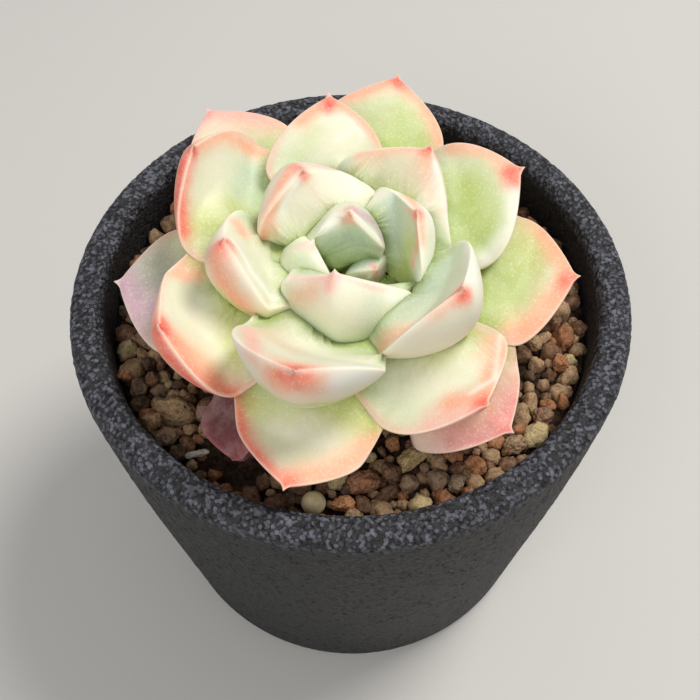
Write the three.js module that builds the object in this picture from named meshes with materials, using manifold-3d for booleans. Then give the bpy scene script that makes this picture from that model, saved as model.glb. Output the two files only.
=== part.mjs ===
// A small succulent rosette (echeveria) in a round tapered pot, millimetres, +Z up.
// Origin: centre of the pot's underside.
import * as THREE from "three";
import { mergeVertices } from "three/addons/utils/BufferGeometryUtils.js";
import Module from "manifold-3d";

// ---- driving dimensions (mm) ----
const GAP = 0.3; // clearance kept between touching pieces
const POT_HEIGHT = 76.7;
const POT_RIM_RADIUS = 45.0; // outside
const POT_RIM_INNER_RADIUS = 39.74;
const POT_BASE_RADIUS = 38.6;
const POT_FLOOR = 5.5; // thickness of the floor
const POT_WALL_TAPER = 0.085; // inner wall, mm inwards per mm down
const POT_SIDES = 56;
const DRAIN_RADIUS = 4.0;
const NET_RADIUS = 9.4;
const NET_THICKNESS = 0.6;
const SOIL_TOP = 69.0; // mean height of the bed's top
const SOIL_BUMP = 0.55;
const STEM_RADIUS = 2.5;
const STEM_TOP = 79.3;
const STEM_FOOT = 62.0;
const LEAF_SECTION_POINTS = 12; // points round a leaf's cross-section
const LEAF_STATIONS = [0, 0.1, 0.22, 0.36, 0.5, 0.63, 0.75, 0.85, 0.93]; // along the leaf, tip apart
const LEAF_BASE_NARROWING = 0.5; // width at the very base, as a share of the blade's own law

// One row per leaf, innermost first:
// base x, y, z (mm); heading (deg); length (mm); pitch at base, middle and tip (deg);
// sideways bend (deg); sideways drift at the tip (mm); roll and roll change (deg);
// half width (mm); where it is widest (share of length); tip fullness; base width share;
// lower and upper half thickness (mm); cupping;
// how far the upper face fills its trough, and how far it stands above it (mm).
const LEAVES = {
  leaf_heart_1: [0.62, 2.85, 75.46, 84.59, 6.24, 86.32, 99.59, 96.82, -2.54, 0.121, -12.26, -2.44, 2.5, 0.598, 2.207, 0.32, 1.25, 0.39, 0.266, 0.8, 0.6],
  leaf_heart_2: [2.22, -2.34, 79.4, -50.12, 8.59, 72.15, 65.77, 48.64, -0.18, -1.142, -6.8, -1.07, 4.04, 0.566, 2.087, 0.319, 2.17, 0.6, 0.285, 0.8, 0.6],
  leaf_inner_1: [-1.81, -0.43, 80.65, 216.3, 14.56, 32.69, 58.63, 131.42, 2.02, 1.693, -18.96, 24.31, 6.3, 0.564, 2.229, 0.373, 4.39, 0.36, 0.369, 0.5, 0.5],
  leaf_inner_3: [0.05, 2.51, 80.67, 85.11, 15.63, 77.73, 111.59, 115.77, -3.89, -0.362, -10.99, -7.56, 6.48, 0.6, 2.206, 0.326, 3.19, 0.36, 0.392, 0.6, 0.5],
  leaf_inner_4: [3.13, -0.43, 80.79, 2.76, 17.14, 42.17, 66.74, 106.87, -2.44, -2.813, 19.16, -14.7, 9.17, 0.605, 2.358, 0.33, 3.11, 0.09, 0.243, 0.5, 0.3],
  leaf_inner_2: [-0.52, -4.6, 80.12, -91.86, 22.68, 2.89, 60.88, 118.02, 2.54, -1.269, -2.4, -19.98, 9.53, 0.598, 2.287, 0.324, 4.53, 0.44, 0.417, 0.9, 0.8],
  leaf_middle_1: [-3.19, 2.43, 81.95, 146.15, 17.92, 35.07, 80.85, 116.02, 3.35, 1.496, -22.85, 4.18, 9.32, 0.535, 2.657, 0.205, 4.55, 0.93, 0.284, 0.6, 0.5],
  leaf_middle_2: [-4.46, -1.24, 79.96, 205.28, 25.53, 9.63, 47.53, 102.03, 16.07, 1.409, -14.2, 6.3, 9.85, 0.568, 1.955, 0.2, 4.1, 0.36, 0.304, 0.9, 0.9],
  leaf_middle_4: [3.18, -3.73, 79.18, 311.39, 29.76, 10.28, 47.33, 86.61, -5.6, -1.705, 19.62, -14.52, 10.54, 0.603, 2.492, 0.317, 4.46, 0.61, 0.375, 0.35, 0.2],
  leaf_middle_3: [-2.53, -4.75, 77.08, 259.22, 38.61, 9.42, 40.7, 73.55, 13.93, 0.397, -12.36, 12.63, 10.65, 0.623, 2.366, 0.2, 4.14, 0.64, 0.365, 0.5, 0.6],
  leaf_middle_5: [2.09, 2.06, 79.14, 46.85, 21.72, 30.02, 59.32, 63.59, -0.21, -2.366, 2.87, -3.6, 10.31, 0.567, 2.174, 0.312, 4.33, 0.66, 0.348, 0.95, 1],
  leaf_outer_1: [-0.86, 2.99, 78.74, 106.74, 26.46, 17.47, 44.19, 25.1, -15.53, -3.294, 5.64, 1.6, 10.16, 0.528, 2.16, 0.323, 3.93, 0.56, 0.094, 0.8, 0.7],
  leaf_outer_2: [-3, 1.73, 77.82, 157.79, 32.73, 15.5, 34.93, 107.7, 7.5, 0.673, -1.31, 0.07, 12.32, 0.666, 2.23, 0.256, 3.68, 0.25, 0.123, 0.8, 0.7],
  leaf_outer_4: [2.04, -2.82, 77.06, 299.52, 34.08, 4.35, 17.22, 47.67, 9.7, -0.112, 7.47, 8.88, 11.49, 0.625, 2.616, 0.275, 3.1, 0.05, 0.078, 0.8, 0.7],
  leaf_outer_5: [-3.21, -1.68, 77.09, 212.67, 34.84, 11.52, 18.23, 88.25, 2.58, 2.312, -10.82, -5.86, 11.68, 0.662, 2.502, 0.249, 3.98, 0.05, 0.189, 0.8, 0.7],
  leaf_outer_3: [3.33, 1.13, 77.86, 20.02, 28.42, 11.81, 35.78, 32.03, -9.8, 0.254, 1.02, 8.58, 11.99, 0.626, 2.217, 0.306, 4.14, 0.52, 0.11, 0.8, 0.7],
  leaf_low_4: [-0.89, -4.33, 76.51, 256.65, 36.12, -1, 9.18, 24.54, -0.35, 0.059, -2.98, -12.95, 10.43, 0.677, 2.088, 0.252, 3.1, 0.05, 0.04, 0.8, 0.7],
  leaf_low_2: [3.73, -0.61, 76.42, -8.15, 32.17, 1.83, 14.59, 34.11, -5.97, -0.43, 4.34, 8.35, 12.26, 0.656, 2.236, 0.309, 3.86, 0.37, 0.101, 0.8, 0.7],
  leaf_low_3: [2.54, -3.65, 75.16, -54.2, 33.55, -9.2, 11.78, 23.54, 10.83, -0.274, 2.25, 15.33, 10.92, 0.635, 2.221, 0.31, 3.1, 0.05, -0.034, 0.8, 0.7],
  leaf_low_1: [0.96, 3.02, 77.08, 78.89, 34.78, 8.47, 19.06, 27.97, -9.83, -0.495, 3.69, -1.21, 10.82, 0.634, 2.152, 0.321, 4.27, 0.69, 0.159, 0.8, 0.7],
  leaf_low_6: [-2.04, 2.76, 76.61, 128.51, 36.63, -0.31, 14.63, 22.62, -2.46, -0.004, 1.36, 0.5, 10.44, 0.638, 2.411, 0.312, 3.82, 0.37, 0.113, 0.8, 0.7],
  leaf_low_5: [-3.29, -0.52, 76.18, 185.28, 33.67, -8.99, 7.68, 24.95, -10.64, -0.024, -10.89, -8.59, 11.28, 0.68, 2.266, 0.291, 3.46, 0.33, 0.095, 0.8, 0.7],
  leaf_maroon: [-1.83, -3.24, 75.25, 241.01, 31.74, -3.88, -0.58, 8.77, 3.61, -0.323, 1.12, 2.25, 8.6, 0.723, 4.5, 0.297, 2.3, 0.06, -0.039, 0.8, 0.7],
  leaf_withered: [-2.02, -3.29, 73.97, 235, 32.12, -9.58, -2.88, 2.01, -15.03, 0.698, 0.97, -20.02, 8.99, 0.627, 4.2, 0.326, 1.9, 0.05, 0.137, 0.8, 0.7],
  leaf_under_1: [0.84, -2.96, 74.46, 282.38, 23.22, -16.45, -0, 7.74, 0.27, 0, 1.3, 0.28, 7.79, 0.634, 2.2, 0.352, 2.72, 0.09, -0.019, 0.8, 0.7],
  leaf_under_2: [1.4, 1.31, 74.35, 41.32, 26, -8.91, 5.79, 9.57, -0.08, 0, 3.7, -2.59, 9, 0.6, 2.2, 0.32, 3.54, 0.79, 0.155, 0.8, 0.7],
  leaf_under_3: [-1.99, 0.74, 73.73, 149.91, 26.19, -8.12, 3.62, 7.48, 0.11, 0, -4.71, 3.51, 8.91, 0.615, 2.2, 0.321, 3.08, 0.43, 0.027, 0.8, 0.7],
};

const LEAF_COLOURS = {
  heart: 0x9fb8a2,
  inner: 0xc3cfae,
  middle: 0xcdd3ac,
  outer: 0xcbcf9d,
  low: 0xc9c79a,
  maroon: 0x5a3138,
  withered: 0x6a4f42,
  under: 0xb9bd92,
};

// ---- loose pieces on the soil: x, y (mm), half sizes (mm), turn (deg), colour ----
const GRAINS = {
  grain_large_brown: [1.7, -31.9, 2.5, 1.9, 1.5, 25, 0x8a5a45],
  grain_long_tan: [9, -28.3, 3.2, 1.5, 1.3, 38, 0xa08862],
  grain_orange: [-1.4, -35.5, 1.6, 1.3, 1.2, 10, 0xb98a5c],
  grain_grey: [15.4, -32.5, 1.6, 1.3, 1.2, 0, 0x8f8a86],
  grain_tan_right: [24.8, -25.7, 1.8, 1.5, 1.3, 30, 0xa98f74],
  grain_brown_right: [29.6, -21.1, 1.9, 1.5, 1.3, 60, 0x8a6a55],
  grain_tan_left: [-33.8, -14.6, 1.9, 1.5, 1.3, 80, 0x9a8266],
  grain_beige_left: [-28.3, -24, 1.8, 1.4, 1.3, 15, 0xb29a80],
};
const PELLET = [-5.7, -35.5, 1.8]; // x, y, radius;
const DEAD_ROOT = [-25.1, -27.6, -21.6, -26.8, 0.5]; // from x, y to x, y, radius;

const wasm = await Module();
wasm.setup();

const rad = (d) => (d * Math.PI) / 180;
const clamp = (x, a, b) => Math.min(b, Math.max(a, x));

// A repeatable number in 0..1 from two whole numbers.
function noise2(i, j) {
  const s = Math.sin(i * 127.1 + j * 311.7) * 43758.5453;
  return s - Math.floor(s);
}

function solidOf(geometry) {
  const g = geometry.clone();
  for (const name of Object.keys(g.attributes))
    if (name !== "position") g.deleteAttribute(name);
  const m = mergeVertices(g, 1e-3);
  return new wasm.Manifold(
    new wasm.Mesh({
      numProp: 3,
      vertProperties: new Float32Array(m.attributes.position.array),
      triVerts: new Uint32Array(m.index.array),
    }),
  );
}

function geometryOf(solid) {
  const m = solid.getMesh();
  const g = new THREE.BufferGeometry();
  const v = new Float32Array(m.numVert * 3);
  for (let i = 0; i < m.numVert; i++)
    v.set(m.vertProperties.subarray(i * m.numProp, i * m.numProp + 3), i * 3);
  g.setAttribute("position", new THREE.BufferAttribute(v, 3));
  g.setIndex(new THREE.BufferAttribute(new Uint32Array(m.triVerts), 1));
  return g;
}

// Joins the corners that a cut left closer than tol, so no needle faces stay.
function tidy(solid, tol = 0.02) {
  const g = geometryOf(solid);
  const p = g.attributes.position.array;
  const n = p.length / 3;
  const map = new Int32Array(n).fill(-1);
  const kept = [];
  for (let i = 0; i < n; i++) {
    let hit = -1;
    for (const k of kept) {
      const dx = p[3 * k] - p[3 * i],
        dy = p[3 * k + 1] - p[3 * i + 1],
        dz = p[3 * k + 2] - p[3 * i + 2];
      if (dx * dx + dy * dy + dz * dz < tol * tol) {
        hit = k;
        break;
      }
    }
    map[i] = hit < 0 ? i : hit;
    if (hit < 0) kept.push(i);
  }
  const out = [];
  const idx = g.index.array;
  for (let t = 0; t < idx.length; t += 3) {
    const a = map[idx[t]],
      b = map[idx[t + 1]],
      c = map[idx[t + 2]];
    if (a !== b && b !== c && a !== c) out.push(a, b, c);
  }
  try {
    const made = new wasm.Manifold(
      new wasm.Mesh({
        numProp: 3,
        vertProperties: new Float32Array(p),
        triVerts: new Uint32Array(out),
      }),
    );
    const parts = made.decompose();
    if (parts.length === 1 && made.volume() > 0.98 * solid.volume())
      return made;
  } catch (e) {
    // two sheets met: the cut stays as it was
  }
  return solid;
}

function largest(solid) {
  let best = null;
  for (const s of solid.decompose())
    if (!best || s.volume() > best.volume()) best = s;
  return best;
}

// The same surface moved outwards by d along its corner normals.
function inflated(geometry, d) {
  const g = geometry.clone();
  for (const name of Object.keys(g.attributes))
    if (name !== "position") g.deleteAttribute(name);
  const m = mergeVertices(g, 1e-3);
  m.computeVertexNormals();
  const p = m.attributes.position,
    n = m.attributes.normal;
  for (let i = 0; i < p.count; i++)
    p.setXYZ(
      i,
      p.getX(i) + d * n.getX(i),
      p.getY(i) + d * n.getY(i),
      p.getZ(i) + d * n.getZ(i),
    );
  m.deleteAttribute("normal");
  return m;
}

// Closed surface from rings of equal length between two end points.
function ringSkin(rings, first, last) {
  const n = rings[0].length;
  const pos = [];
  for (const r of rings) for (const v of r) pos.push(v.x, v.y, v.z);
  const a = pos.length / 3;
  pos.push(first.x, first.y, first.z);
  const b = a + 1;
  pos.push(last.x, last.y, last.z);
  const idx = [];
  for (let i = 0; i < n; i++) {
    const j = (i + 1) % n;
    idx.push(a, j, i);
    for (let k = 0; k + 1 < rings.length; k++) {
      const q = k * n,
        w = (k + 1) * n;
      idx.push(q + i, q + j, w + j, q + i, w + j, w + i);
    }
    const e = (rings.length - 1) * n;
    idx.push(e + i, e + j, b);
  }
  const g = new THREE.BufferGeometry();
  g.setAttribute(
    "position",
    new THREE.BufferAttribute(new Float32Array(pos), 3),
  );
  g.setIndex(idx);
  return g;
}

// ---- leaf: a spine that bends, carrying a flat-topped, keeled section ----
function leafGeometry(row) {
  const [bx, by, bz, th, L, pb, pm, pt, beta, drift, ro0, ro1, W, um, tipP, g0, TB, TA, cup, fill, bulge] = row;
  const a2 = 2 * (pb - 2 * pm + pt),
    a1 = -3 * pb + 4 * pm - pt;
  const frameAt = (u) => {
    const phi = rad(pb + a1 * u + a2 * u * u),
      the = rad(th + beta * (u - 0.35)),
      ro = rad(ro0 + ro1 * (u - 0.5));
    const T = new THREE.Vector3(
      Math.cos(phi) * Math.cos(the),
      Math.cos(phi) * Math.sin(the),
      Math.sin(phi),
    );
    const S0 = new THREE.Vector3(-Math.sin(the), Math.cos(the), 0);
    const N0 = new THREE.Vector3(
      -Math.sin(phi) * Math.cos(the),
      -Math.sin(phi) * Math.sin(the),
      Math.cos(phi),
    );
    const S = S0.clone()
      .multiplyScalar(Math.cos(ro))
      .addScaledVector(N0, Math.sin(ro));
    const N = S0.clone()
      .multiplyScalar(-Math.sin(ro))
      .addScaledVector(N0, Math.cos(ro));
    return { T, S, N };
  };
  const STEPS = 60;
  const spine = [new THREE.Vector3(bx, by, bz)];
  let before = frameAt(0).T;
  for (let i = 1; i <= STEPS; i++) {
    const now = frameAt(i / STEPS).T;
    spine.push(
      spine[i - 1]
        .clone()
        .addScaledVector(before, (L / STEPS) * 0.5)
        .addScaledVector(now, (L / STEPS) * 0.5),
    );
    before = now;
  }
  const spineAt = (u) => {
    const f = clamp(u, 0, 1) * STEPS,
      i = Math.min(STEPS - 1, Math.floor(f));
    return spine[i].clone().lerp(spine[i + 1], f - i);
  };
  const ringAt = (u) => {
    const M = spineAt(u),
      { S, N } = frameAt(u);
    const s1 = clamp(1 - u / um, 0, 1),
      s2 = clamp((u - um) / (1 - um), 0, 1);
    const g = u < um ? 1 - (1 - g0) * s1 ** 1.9 : 1 - s2 ** tipP;
    const s3 = clamp((u - 0.45) / 0.55, 0, 1);
    const h =
      u < 0.45
        ? 0.7 + 0.3 * Math.sin((Math.PI / 2) * (u / 0.45))
        : Math.max(0, 1 - s3 ** 2.6) ** 0.62;
    const t = clamp(u / 0.25, 0, 1),
      narrow =
        LEAF_BASE_NARROWING +
        (1 - LEAF_BASE_NARROWING) * t * t * (3 - 2 * t);
    const w = W * g * narrow,
      tb = TB * h * narrow,
      ta = TA * h * narrow;
    const cu = cup * (0.25 + 0.75 * clamp(u / 0.6, 0, 1));
    const off = drift * u ** 3;
    // the trough between the margins is filled, and the face stands a little above it
    const q = clamp((u - 0.06) / 0.36, 0, 1),
      grow = q * q * (3 - 2 * q);
    const rest = Math.max(0, 1 - s3 ** 2.6) ** 0.62;
    const lift = fill * cu * w * grow + bulge * grow * rest;
    const ring = [];
    for (let i = 0; i < LEAF_SECTION_POINTS; i++) {
      const psi = (2 * Math.PI * i) / LEAF_SECTION_POINTS;
      const v = Math.cos(psi),
        sn = Math.sin(psi),
        as = Math.abs(sn);
      const up = 0.38 * as + 0.62 * sn * sn;
      const down =
        0.38 * as + 0.62 * (0.75 * sn * sn + 0.25 * (1 - Math.abs(v)));
      const z =
        cu * w * v * v +
        (sn >= 0
          ? ta * up + 0.55 * rest * as ** 0.7 + lift * (1 - v * v)
          : -tb * down);
      ring.push(
        M.clone()
          .addScaledVector(S, off + w * v)
          .addScaledVector(N, z),
      );
    }
    return ring;
  };
  const rings = LEAF_STATIONS.map(ringAt);
  const tip = spineAt(1).addScaledVector(frameAt(1).S, drift);
  const base = spineAt(0).addScaledVector(frameAt(0).T, -0.25);
  return ringSkin(rings, base, tip);
}

// ---- pot: turned wall and floor, softly rounded rim, drain hole ----
function potGeometry() {
  const H = POT_HEIGHT;
  const p = [];
  p.push([DRAIN_RADIUS, 0], [POT_BASE_RADIUS - 3.0, 0]);
  p.push([POT_BASE_RADIUS - 0.9, 0.85], [POT_BASE_RADIUS, 3.0]);
  for (const z of [22, 42, 60]) {
    const t = (z - 3) / (H - 2.2 - 3);
    p.push([
      POT_BASE_RADIUS +
        (POT_RIM_RADIUS - POT_BASE_RADIUS) * t +
        0.45 * Math.sin(Math.PI * Math.pow(t, 1.6)),
      z,
    ]);
  }
  p.push([POT_RIM_RADIUS, H - 2.2], [POT_RIM_RADIUS - 0.55, H - 0.65]);
  p.push([POT_RIM_RADIUS - 1.7, H], [POT_RIM_INNER_RADIUS + 1.5, H]);
  p.push([POT_RIM_INNER_RADIUS + 0.4, H - 0.6], [POT_RIM_INNER_RADIUS, H - 1.8]);
  const inner = (z) => POT_RIM_INNER_RADIUS - POT_WALL_TAPER * (H - 1.8 - z);
  p.push([inner(40), 40], [inner(11), 11]);
  p.push([inner(11) - 1.6, 7.0], [inner(11) - 4.2, POT_FLOOR]);
  p.push([DRAIN_RADIUS, POT_FLOOR], [DRAIN_RADIUS, 0]);
  const g = new THREE.LatheGeometry(
    p.map(([r, z]) => new THREE.Vector2(r, z)),
    POT_SIDES,
  );
  g.rotateX(Math.PI / 2);
  return { geometry: g, inner };
}

// ---- soil bed: one mass of grains with an uneven top ----
function soilTop(x, y) {
  const r = Math.hypot(x, y);
  let b = 0;
  for (const [k, a] of [
    [0.21, 1.0],
    [0.47, 0.6],
  ])
    b +=
      a *
      (Math.sin(x * k + 1.3 * y * k + 0.7) *
        Math.cos(y * k * 1.1 - 0.6 * x * k + 2.1));
  return (
    SOIL_TOP + SOIL_BUMP * b * 0.8 - 0.4 * clamp((r - 34) / 5, 0, 1) ** 2
  );
}

function soilGeometry(inner) {
  const N = 36;
  const rings = [];
  const circle = (r, z) => {
    const ring = [];
    for (let i = 0; i < N; i++) {
      const t = (2 * Math.PI * i) / N;
      const x = r * Math.cos(t),
        y = r * Math.sin(t);
      ring.push(new THREE.Vector3(x, y, typeof z === "function" ? z(x, y) : z));
    }
    return ring;
  };
  const wall = (z) => inner(z) - GAP - 0.12;
  rings.push(circle(NET_RADIUS + 0.6, POT_FLOOR + NET_THICKNESS + 2 * GAP));
  rings.push(circle(NET_RADIUS + 1.6, POT_FLOOR + GAP));
  rings.push(circle(inner(11) - 4.8, POT_FLOOR + GAP));
  rings.push(circle(inner(11) - 2.1, 7.4));
  rings.push(circle(wall(11.2) - 0.2, 11.2));
  rings.push(circle(wall(40), 40));
  rings.push(circle(wall(67.6), 67.6));
  for (const r of [37.2, 32.5, 26.5, 19, 10])
    rings.push(circle(r, soilTop));
  const g = ringSkin(
    rings,
    new THREE.Vector3(0, 0, POT_FLOOR + NET_THICKNESS + 2 * GAP),
    new THREE.Vector3(0, 0, soilTop(0, 0)),
  );
  return g;
}

// ---- stem with its roots ----
function stemSolid() {
  const prof = [
    [0, STEM_FOOT],
    [1.5, STEM_FOOT + 0.3],
    [STEM_RADIUS, STEM_FOOT + 1.6],
    [STEM_RADIUS + 0.2, 70],
    [STEM_RADIUS, 75],
    [STEM_RADIUS - 0.3, 77.4],
    [STEM_RADIUS - 1.1, STEM_TOP - 0.5],
    [0, STEM_TOP],
  ];
  const g = new THREE.LatheGeometry(
    prof.map(([r, z]) => new THREE.Vector2(r, z)),
    12,
  );
  g.rotateX(Math.PI / 2);
  let s = solidOf(g);
  const ROOTS = 5;
  for (let k = 0; k < ROOTS; k++) {
    const a = (2 * Math.PI * k) / ROOTS + 0.4 * noise2(k, 3);
    const reach = 11 + 9 * noise2(k, 5),
      low = 24 + 16 * noise2(k, 9);
    const curve = new THREE.CatmullRomCurve3([
      new THREE.Vector3(0.9 * Math.cos(a), 0.9 * Math.sin(a), STEM_FOOT + 2.6),
      new THREE.Vector3(
        0.3 * reach * Math.cos(a),
        0.3 * reach * Math.sin(a),
        STEM_FOOT - 4,
      ),
      new THREE.Vector3(
        0.75 * reach * Math.cos(a + 0.25),
        0.75 * reach * Math.sin(a + 0.25),
        STEM_FOOT - 14,
      ),
      new THREE.Vector3(
        reach * Math.cos(a + 0.1),
        reach * Math.sin(a + 0.1),
        low,
      ),
    ]);
    const rings = [],
      M = 5;
    for (let i = 0; i <= M; i++) {
      const t = i / M,
        c = curve.getPoint(t),
        d = curve.getTangent(t);
      const x = new THREE.Vector3(-Math.sin(a), Math.cos(a), 0)
        .addScaledVector(d, 0)
        .cross(d)
        .normalize();
      const y = d.clone().cross(x).normalize();
      const r = 1.0 - 0.72 * t;
      const ring = [];
      for (let j = 0; j < 5; j++) {
        const q = (2 * Math.PI * j) / 5;
        ring.push(
          c
            .clone()
            .addScaledVector(x, r * Math.cos(q))
            .addScaledVector(y, r * Math.sin(q)),
        );
      }
      rings.push(ring);
    }
    const d0 = curve.getTangent(0),
      d1 = curve.getTangent(1);
    s = s.add(
      solidOf(
        ringSkin(
          rings,
          curve.getPoint(0).addScaledVector(d0, -0.3),
          curve.getPoint(1).addScaledVector(d1, 0.3),
        ),
      ),
    );
  }
  return largest(s);
}

// ---- a rough grain: a sphere with an uneven skin ----
function grainGeometry(seed, half, rough, detail = 1) {
  const g = mergeVertices(
    (() => {
      const s = new THREE.IcosahedronGeometry(1, detail);
      s.deleteAttribute("normal");
      s.deleteAttribute("uv");
      return s;
    })(),
    1e-4,
  );
  const p = g.attributes.position;
  for (let i = 0; i < p.count; i++) {
    const k = 1 + rough * (noise2(i + 1, seed) - 0.5) * 2;
    p.setXYZ(
      i,
      p.getX(i) * half[0] * k,
      p.getY(i) * half[1] * k,
      p.getZ(i) * half[2] * k,
    );
  }
  return g;
}

// ---- assembly ----
const root = new THREE.Group();
const material = (color, roughness) =>
  new THREE.MeshStandardMaterial({ color, roughness, metalness: 0 });
const place = (name, geometry, mat) => {
  geometry.computeVertexNormals();
  const mesh = new THREE.Mesh(geometry, mat);
  mesh.name = name;
  root.add(mesh);
  return mesh;
};

const { geometry: potShape, inner: innerWall } = potGeometry();
{
  const g = potShape.clone();
  for (const n of ["normal", "uv"]) g.deleteAttribute(n);
  place("pot", mergeVertices(g, 1e-4), material(0x2b2d30, 0.95));
}

// the net over the drain hole
{
  const rim = [];
  for (let i = 0; i < 28; i++)
    rim.push(
      new THREE.Vector2(
        NET_RADIUS * Math.cos((2 * Math.PI * i) / 28),
        NET_RADIUS * Math.sin((2 * Math.PI * i) / 28),
      ),
    );
  const s = new THREE.Shape(rim);
  // one round mesh opening in the middle, six round it and six further out
  const openings = [[0, 0]];
  for (let k = 0; k < 6; k++) {
    const t = rad(60 * k + 7);
    openings.push([2.45 * Math.cos(t), 2.45 * Math.sin(t)]);
    openings.push([4.9 * Math.cos(t + 0.53), 4.9 * Math.sin(t + 0.53)]);
  }
  openings.forEach(([x, y], k) => {
    const hole = [];
    for (let i = 0; i < 6; i++) {
      const t = -(2 * Math.PI * i) / 6 + 0.37 * k;
      hole.push(
        new THREE.Vector2(x + 0.85 * Math.cos(t), y + 0.85 * Math.sin(t)),
      );
    }
    s.holes.push(new THREE.Path(hole));
  });
  const g = new THREE.ExtrudeGeometry(s, {
    depth: NET_THICKNESS,
    bevelEnabled: false,
  });
  g.translate(0, 0, POT_FLOOR + GAP);
  for (const n of ["normal", "uv"]) g.deleteAttribute(n);
  place("drain_net", mergeVertices(g, 1e-4), material(0x1c1c1c, 0.7));
}

// stem and roots
const stem = stemSolid();
const stemGeometry = geometryOf(stem);
place("stem_with_roots", geometryOf(stem), material(0x8a7a58, 0.85));

// leaves, innermost first: each one gives way to those inside it
const stemKeepOut = solidOf(inflated(stemGeometry, GAP));
const keepOut = [];
const finished = [];
for (const [name, row] of Object.entries(LEAVES)) {
  const g = leafGeometry(row);
  const whole = solidOf(g);
  let s = whole.subtract(stemKeepOut);
  for (const k of keepOut) {
    const common = s.intersect(k.solid);
    if (common.volume() > 1e-7) s = s.subtract(k.solid);
  }
  s = tidy(largest(s));
  finished.push({ name, solid: s, share: s.volume() / whole.volume() });
  keepOut.push({ name, solid: solidOf(inflated(g, GAP + 0.02)) });
  const kind = name.split("_")[1];
  place(name, geometryOf(s), material(LEAF_COLOURS[kind], 0.6));
}

// loose pieces on the soil
const loose = [];
const put = (name, g, x, y, z, mat) => {
  g.translate(x, y, z);
  loose.push(solidOf(inflated(g, GAP)));
  place(name, g, mat);
};
let seed = 1;
for (const [name, [x, y, hx, hy, hz, turn, colour]] of Object.entries(GRAINS)) {
  const g = grainGeometry(++seed, [hx, hy, hz], 0.12);
  g.rotateZ(rad(turn));
  put(name, g, x, y, soilTop(x, y) + 0.55 * hz, material(colour, 0.95));
}
{
  const [x, y, r] = PELLET;
  const g = grainGeometry(91, [r, r, r], 0.01);
  put("feed_pellet", g, x, y, soilTop(x, y) + 0.75 * r, material(0xe6dfb0, 0.6));
}
{
  const [x0, y0, x1, y1, r] = DEAD_ROOT;
  const n = 6,
    rings = [];
  const A = new THREE.Vector3(x0, y0, soilTop(x0, y0) + r + 0.5),
    B = new THREE.Vector3(x1, y1, soilTop(x1, y1) + r + 0.5);
  const d = B.clone().sub(A).normalize();
  const side = new THREE.Vector3(-d.y, d.x, 0).normalize();
  const up = d.clone().cross(side).normalize();
  for (let i = 0; i <= n; i++) {
    const t = i / n;
    const c = A.clone()
      .lerp(B, t)
      .addScaledVector(up, -0.5 * Math.sin(Math.PI * t))
      .addScaledVector(side, 0.35 * Math.sin(2 * Math.PI * t));
    const q = r * (1 - 0.25 * t) * (0.8 + 0.2 * Math.sin(Math.PI * t));
    const ring = [];
    for (let j = 0; j < 7; j++) {
      const w = (2 * Math.PI * j) / 7;
      ring.push(
        c
          .clone()
          .addScaledVector(side, q * Math.cos(w))
          .addScaledVector(up, q * Math.sin(w)),
      );
    }
    rings.push(ring);
  }
  const g = ringSkin(
    rings,
    A.clone().addScaledVector(d, -0.3),
    B.clone().addScaledVector(d, 0.3),
  );
  put("dead_root", g, 0, 0, 0, material(0xcfc6b8, 0.8));
}

// soil bed, hollowed round the roots and under what lies on it
{
  let s = solidOf(soilGeometry(innerWall)).subtract(stemKeepOut);
  for (const l of loose) if (s.intersect(l).volume() > 1e-7) s = s.subtract(l);
  for (const k of keepOut)
    if (s.intersect(k.solid).volume() > 1e-7) s = s.subtract(k.solid);
  place("soil", geometryOf(tidy(largest(s))), material(0x6d4a35, 1));
}

export default root;
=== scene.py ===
"""A small succulent rosette (echeveria) in a round tapered pot: camera, light, floor and looks.
Lengths are in millimetres here and are turned into metres when a mesh is made."""
import math

import bpy
import numpy as np
from mathutils import Matrix, Vector
from mathutils.bvhtree import BVHTree


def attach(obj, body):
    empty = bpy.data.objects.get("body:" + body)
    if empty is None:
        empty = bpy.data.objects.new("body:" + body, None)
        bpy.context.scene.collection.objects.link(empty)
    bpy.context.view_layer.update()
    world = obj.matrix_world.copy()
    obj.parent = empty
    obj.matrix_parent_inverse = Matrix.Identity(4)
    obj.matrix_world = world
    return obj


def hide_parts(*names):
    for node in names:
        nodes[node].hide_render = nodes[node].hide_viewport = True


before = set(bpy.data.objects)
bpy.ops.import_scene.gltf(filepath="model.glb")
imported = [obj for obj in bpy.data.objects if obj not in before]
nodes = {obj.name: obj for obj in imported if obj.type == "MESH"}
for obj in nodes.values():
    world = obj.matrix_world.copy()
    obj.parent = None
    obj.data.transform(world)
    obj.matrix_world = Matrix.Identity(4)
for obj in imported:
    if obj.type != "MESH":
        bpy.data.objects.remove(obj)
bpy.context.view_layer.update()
MM = 0.001
RAD = math.pi / 180

# ------------------------------------------------------------------ camera
ELEV, ROLL = 0.99032, -0.011
right0 = np.array([1.0, 0.0, 0.0])
forward = np.array([0.0, math.cos(ELEV), -math.sin(ELEV)])
up0 = np.array([0.0, math.sin(ELEV), math.cos(ELEV)])
cam_right = math.cos(ROLL) * right0 + math.sin(ROLL) * up0
cam_up = -math.sin(ROLL) * right0 + math.cos(ROLL) * up0
cam_at = np.array([0.0, 0.0, 76.7]) - 0.144 * right0 - 10.974 * up0 - 151.207 * forward
cam_data = bpy.data.cameras.new("camera")
cam_data.sensor_width = 36.0
cam_data.lens = 941.366 * 36.0 / 700.0
cam_data.clip_start = 0.01
cam_data.clip_end = 20.0
camera = bpy.data.objects.new("camera", cam_data)
bpy.context.scene.collection.objects.link(camera)
camera.matrix_world = Matrix((
    (cam_right[0], cam_up[0], -forward[0], cam_at[0] * MM),
    (cam_right[1], cam_up[1], -forward[1], cam_at[1] * MM),
    (cam_right[2], cam_up[2], -forward[2], cam_at[2] * MM),
    (0, 0, 0, 1)))
bpy.context.scene.camera = camera


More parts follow.
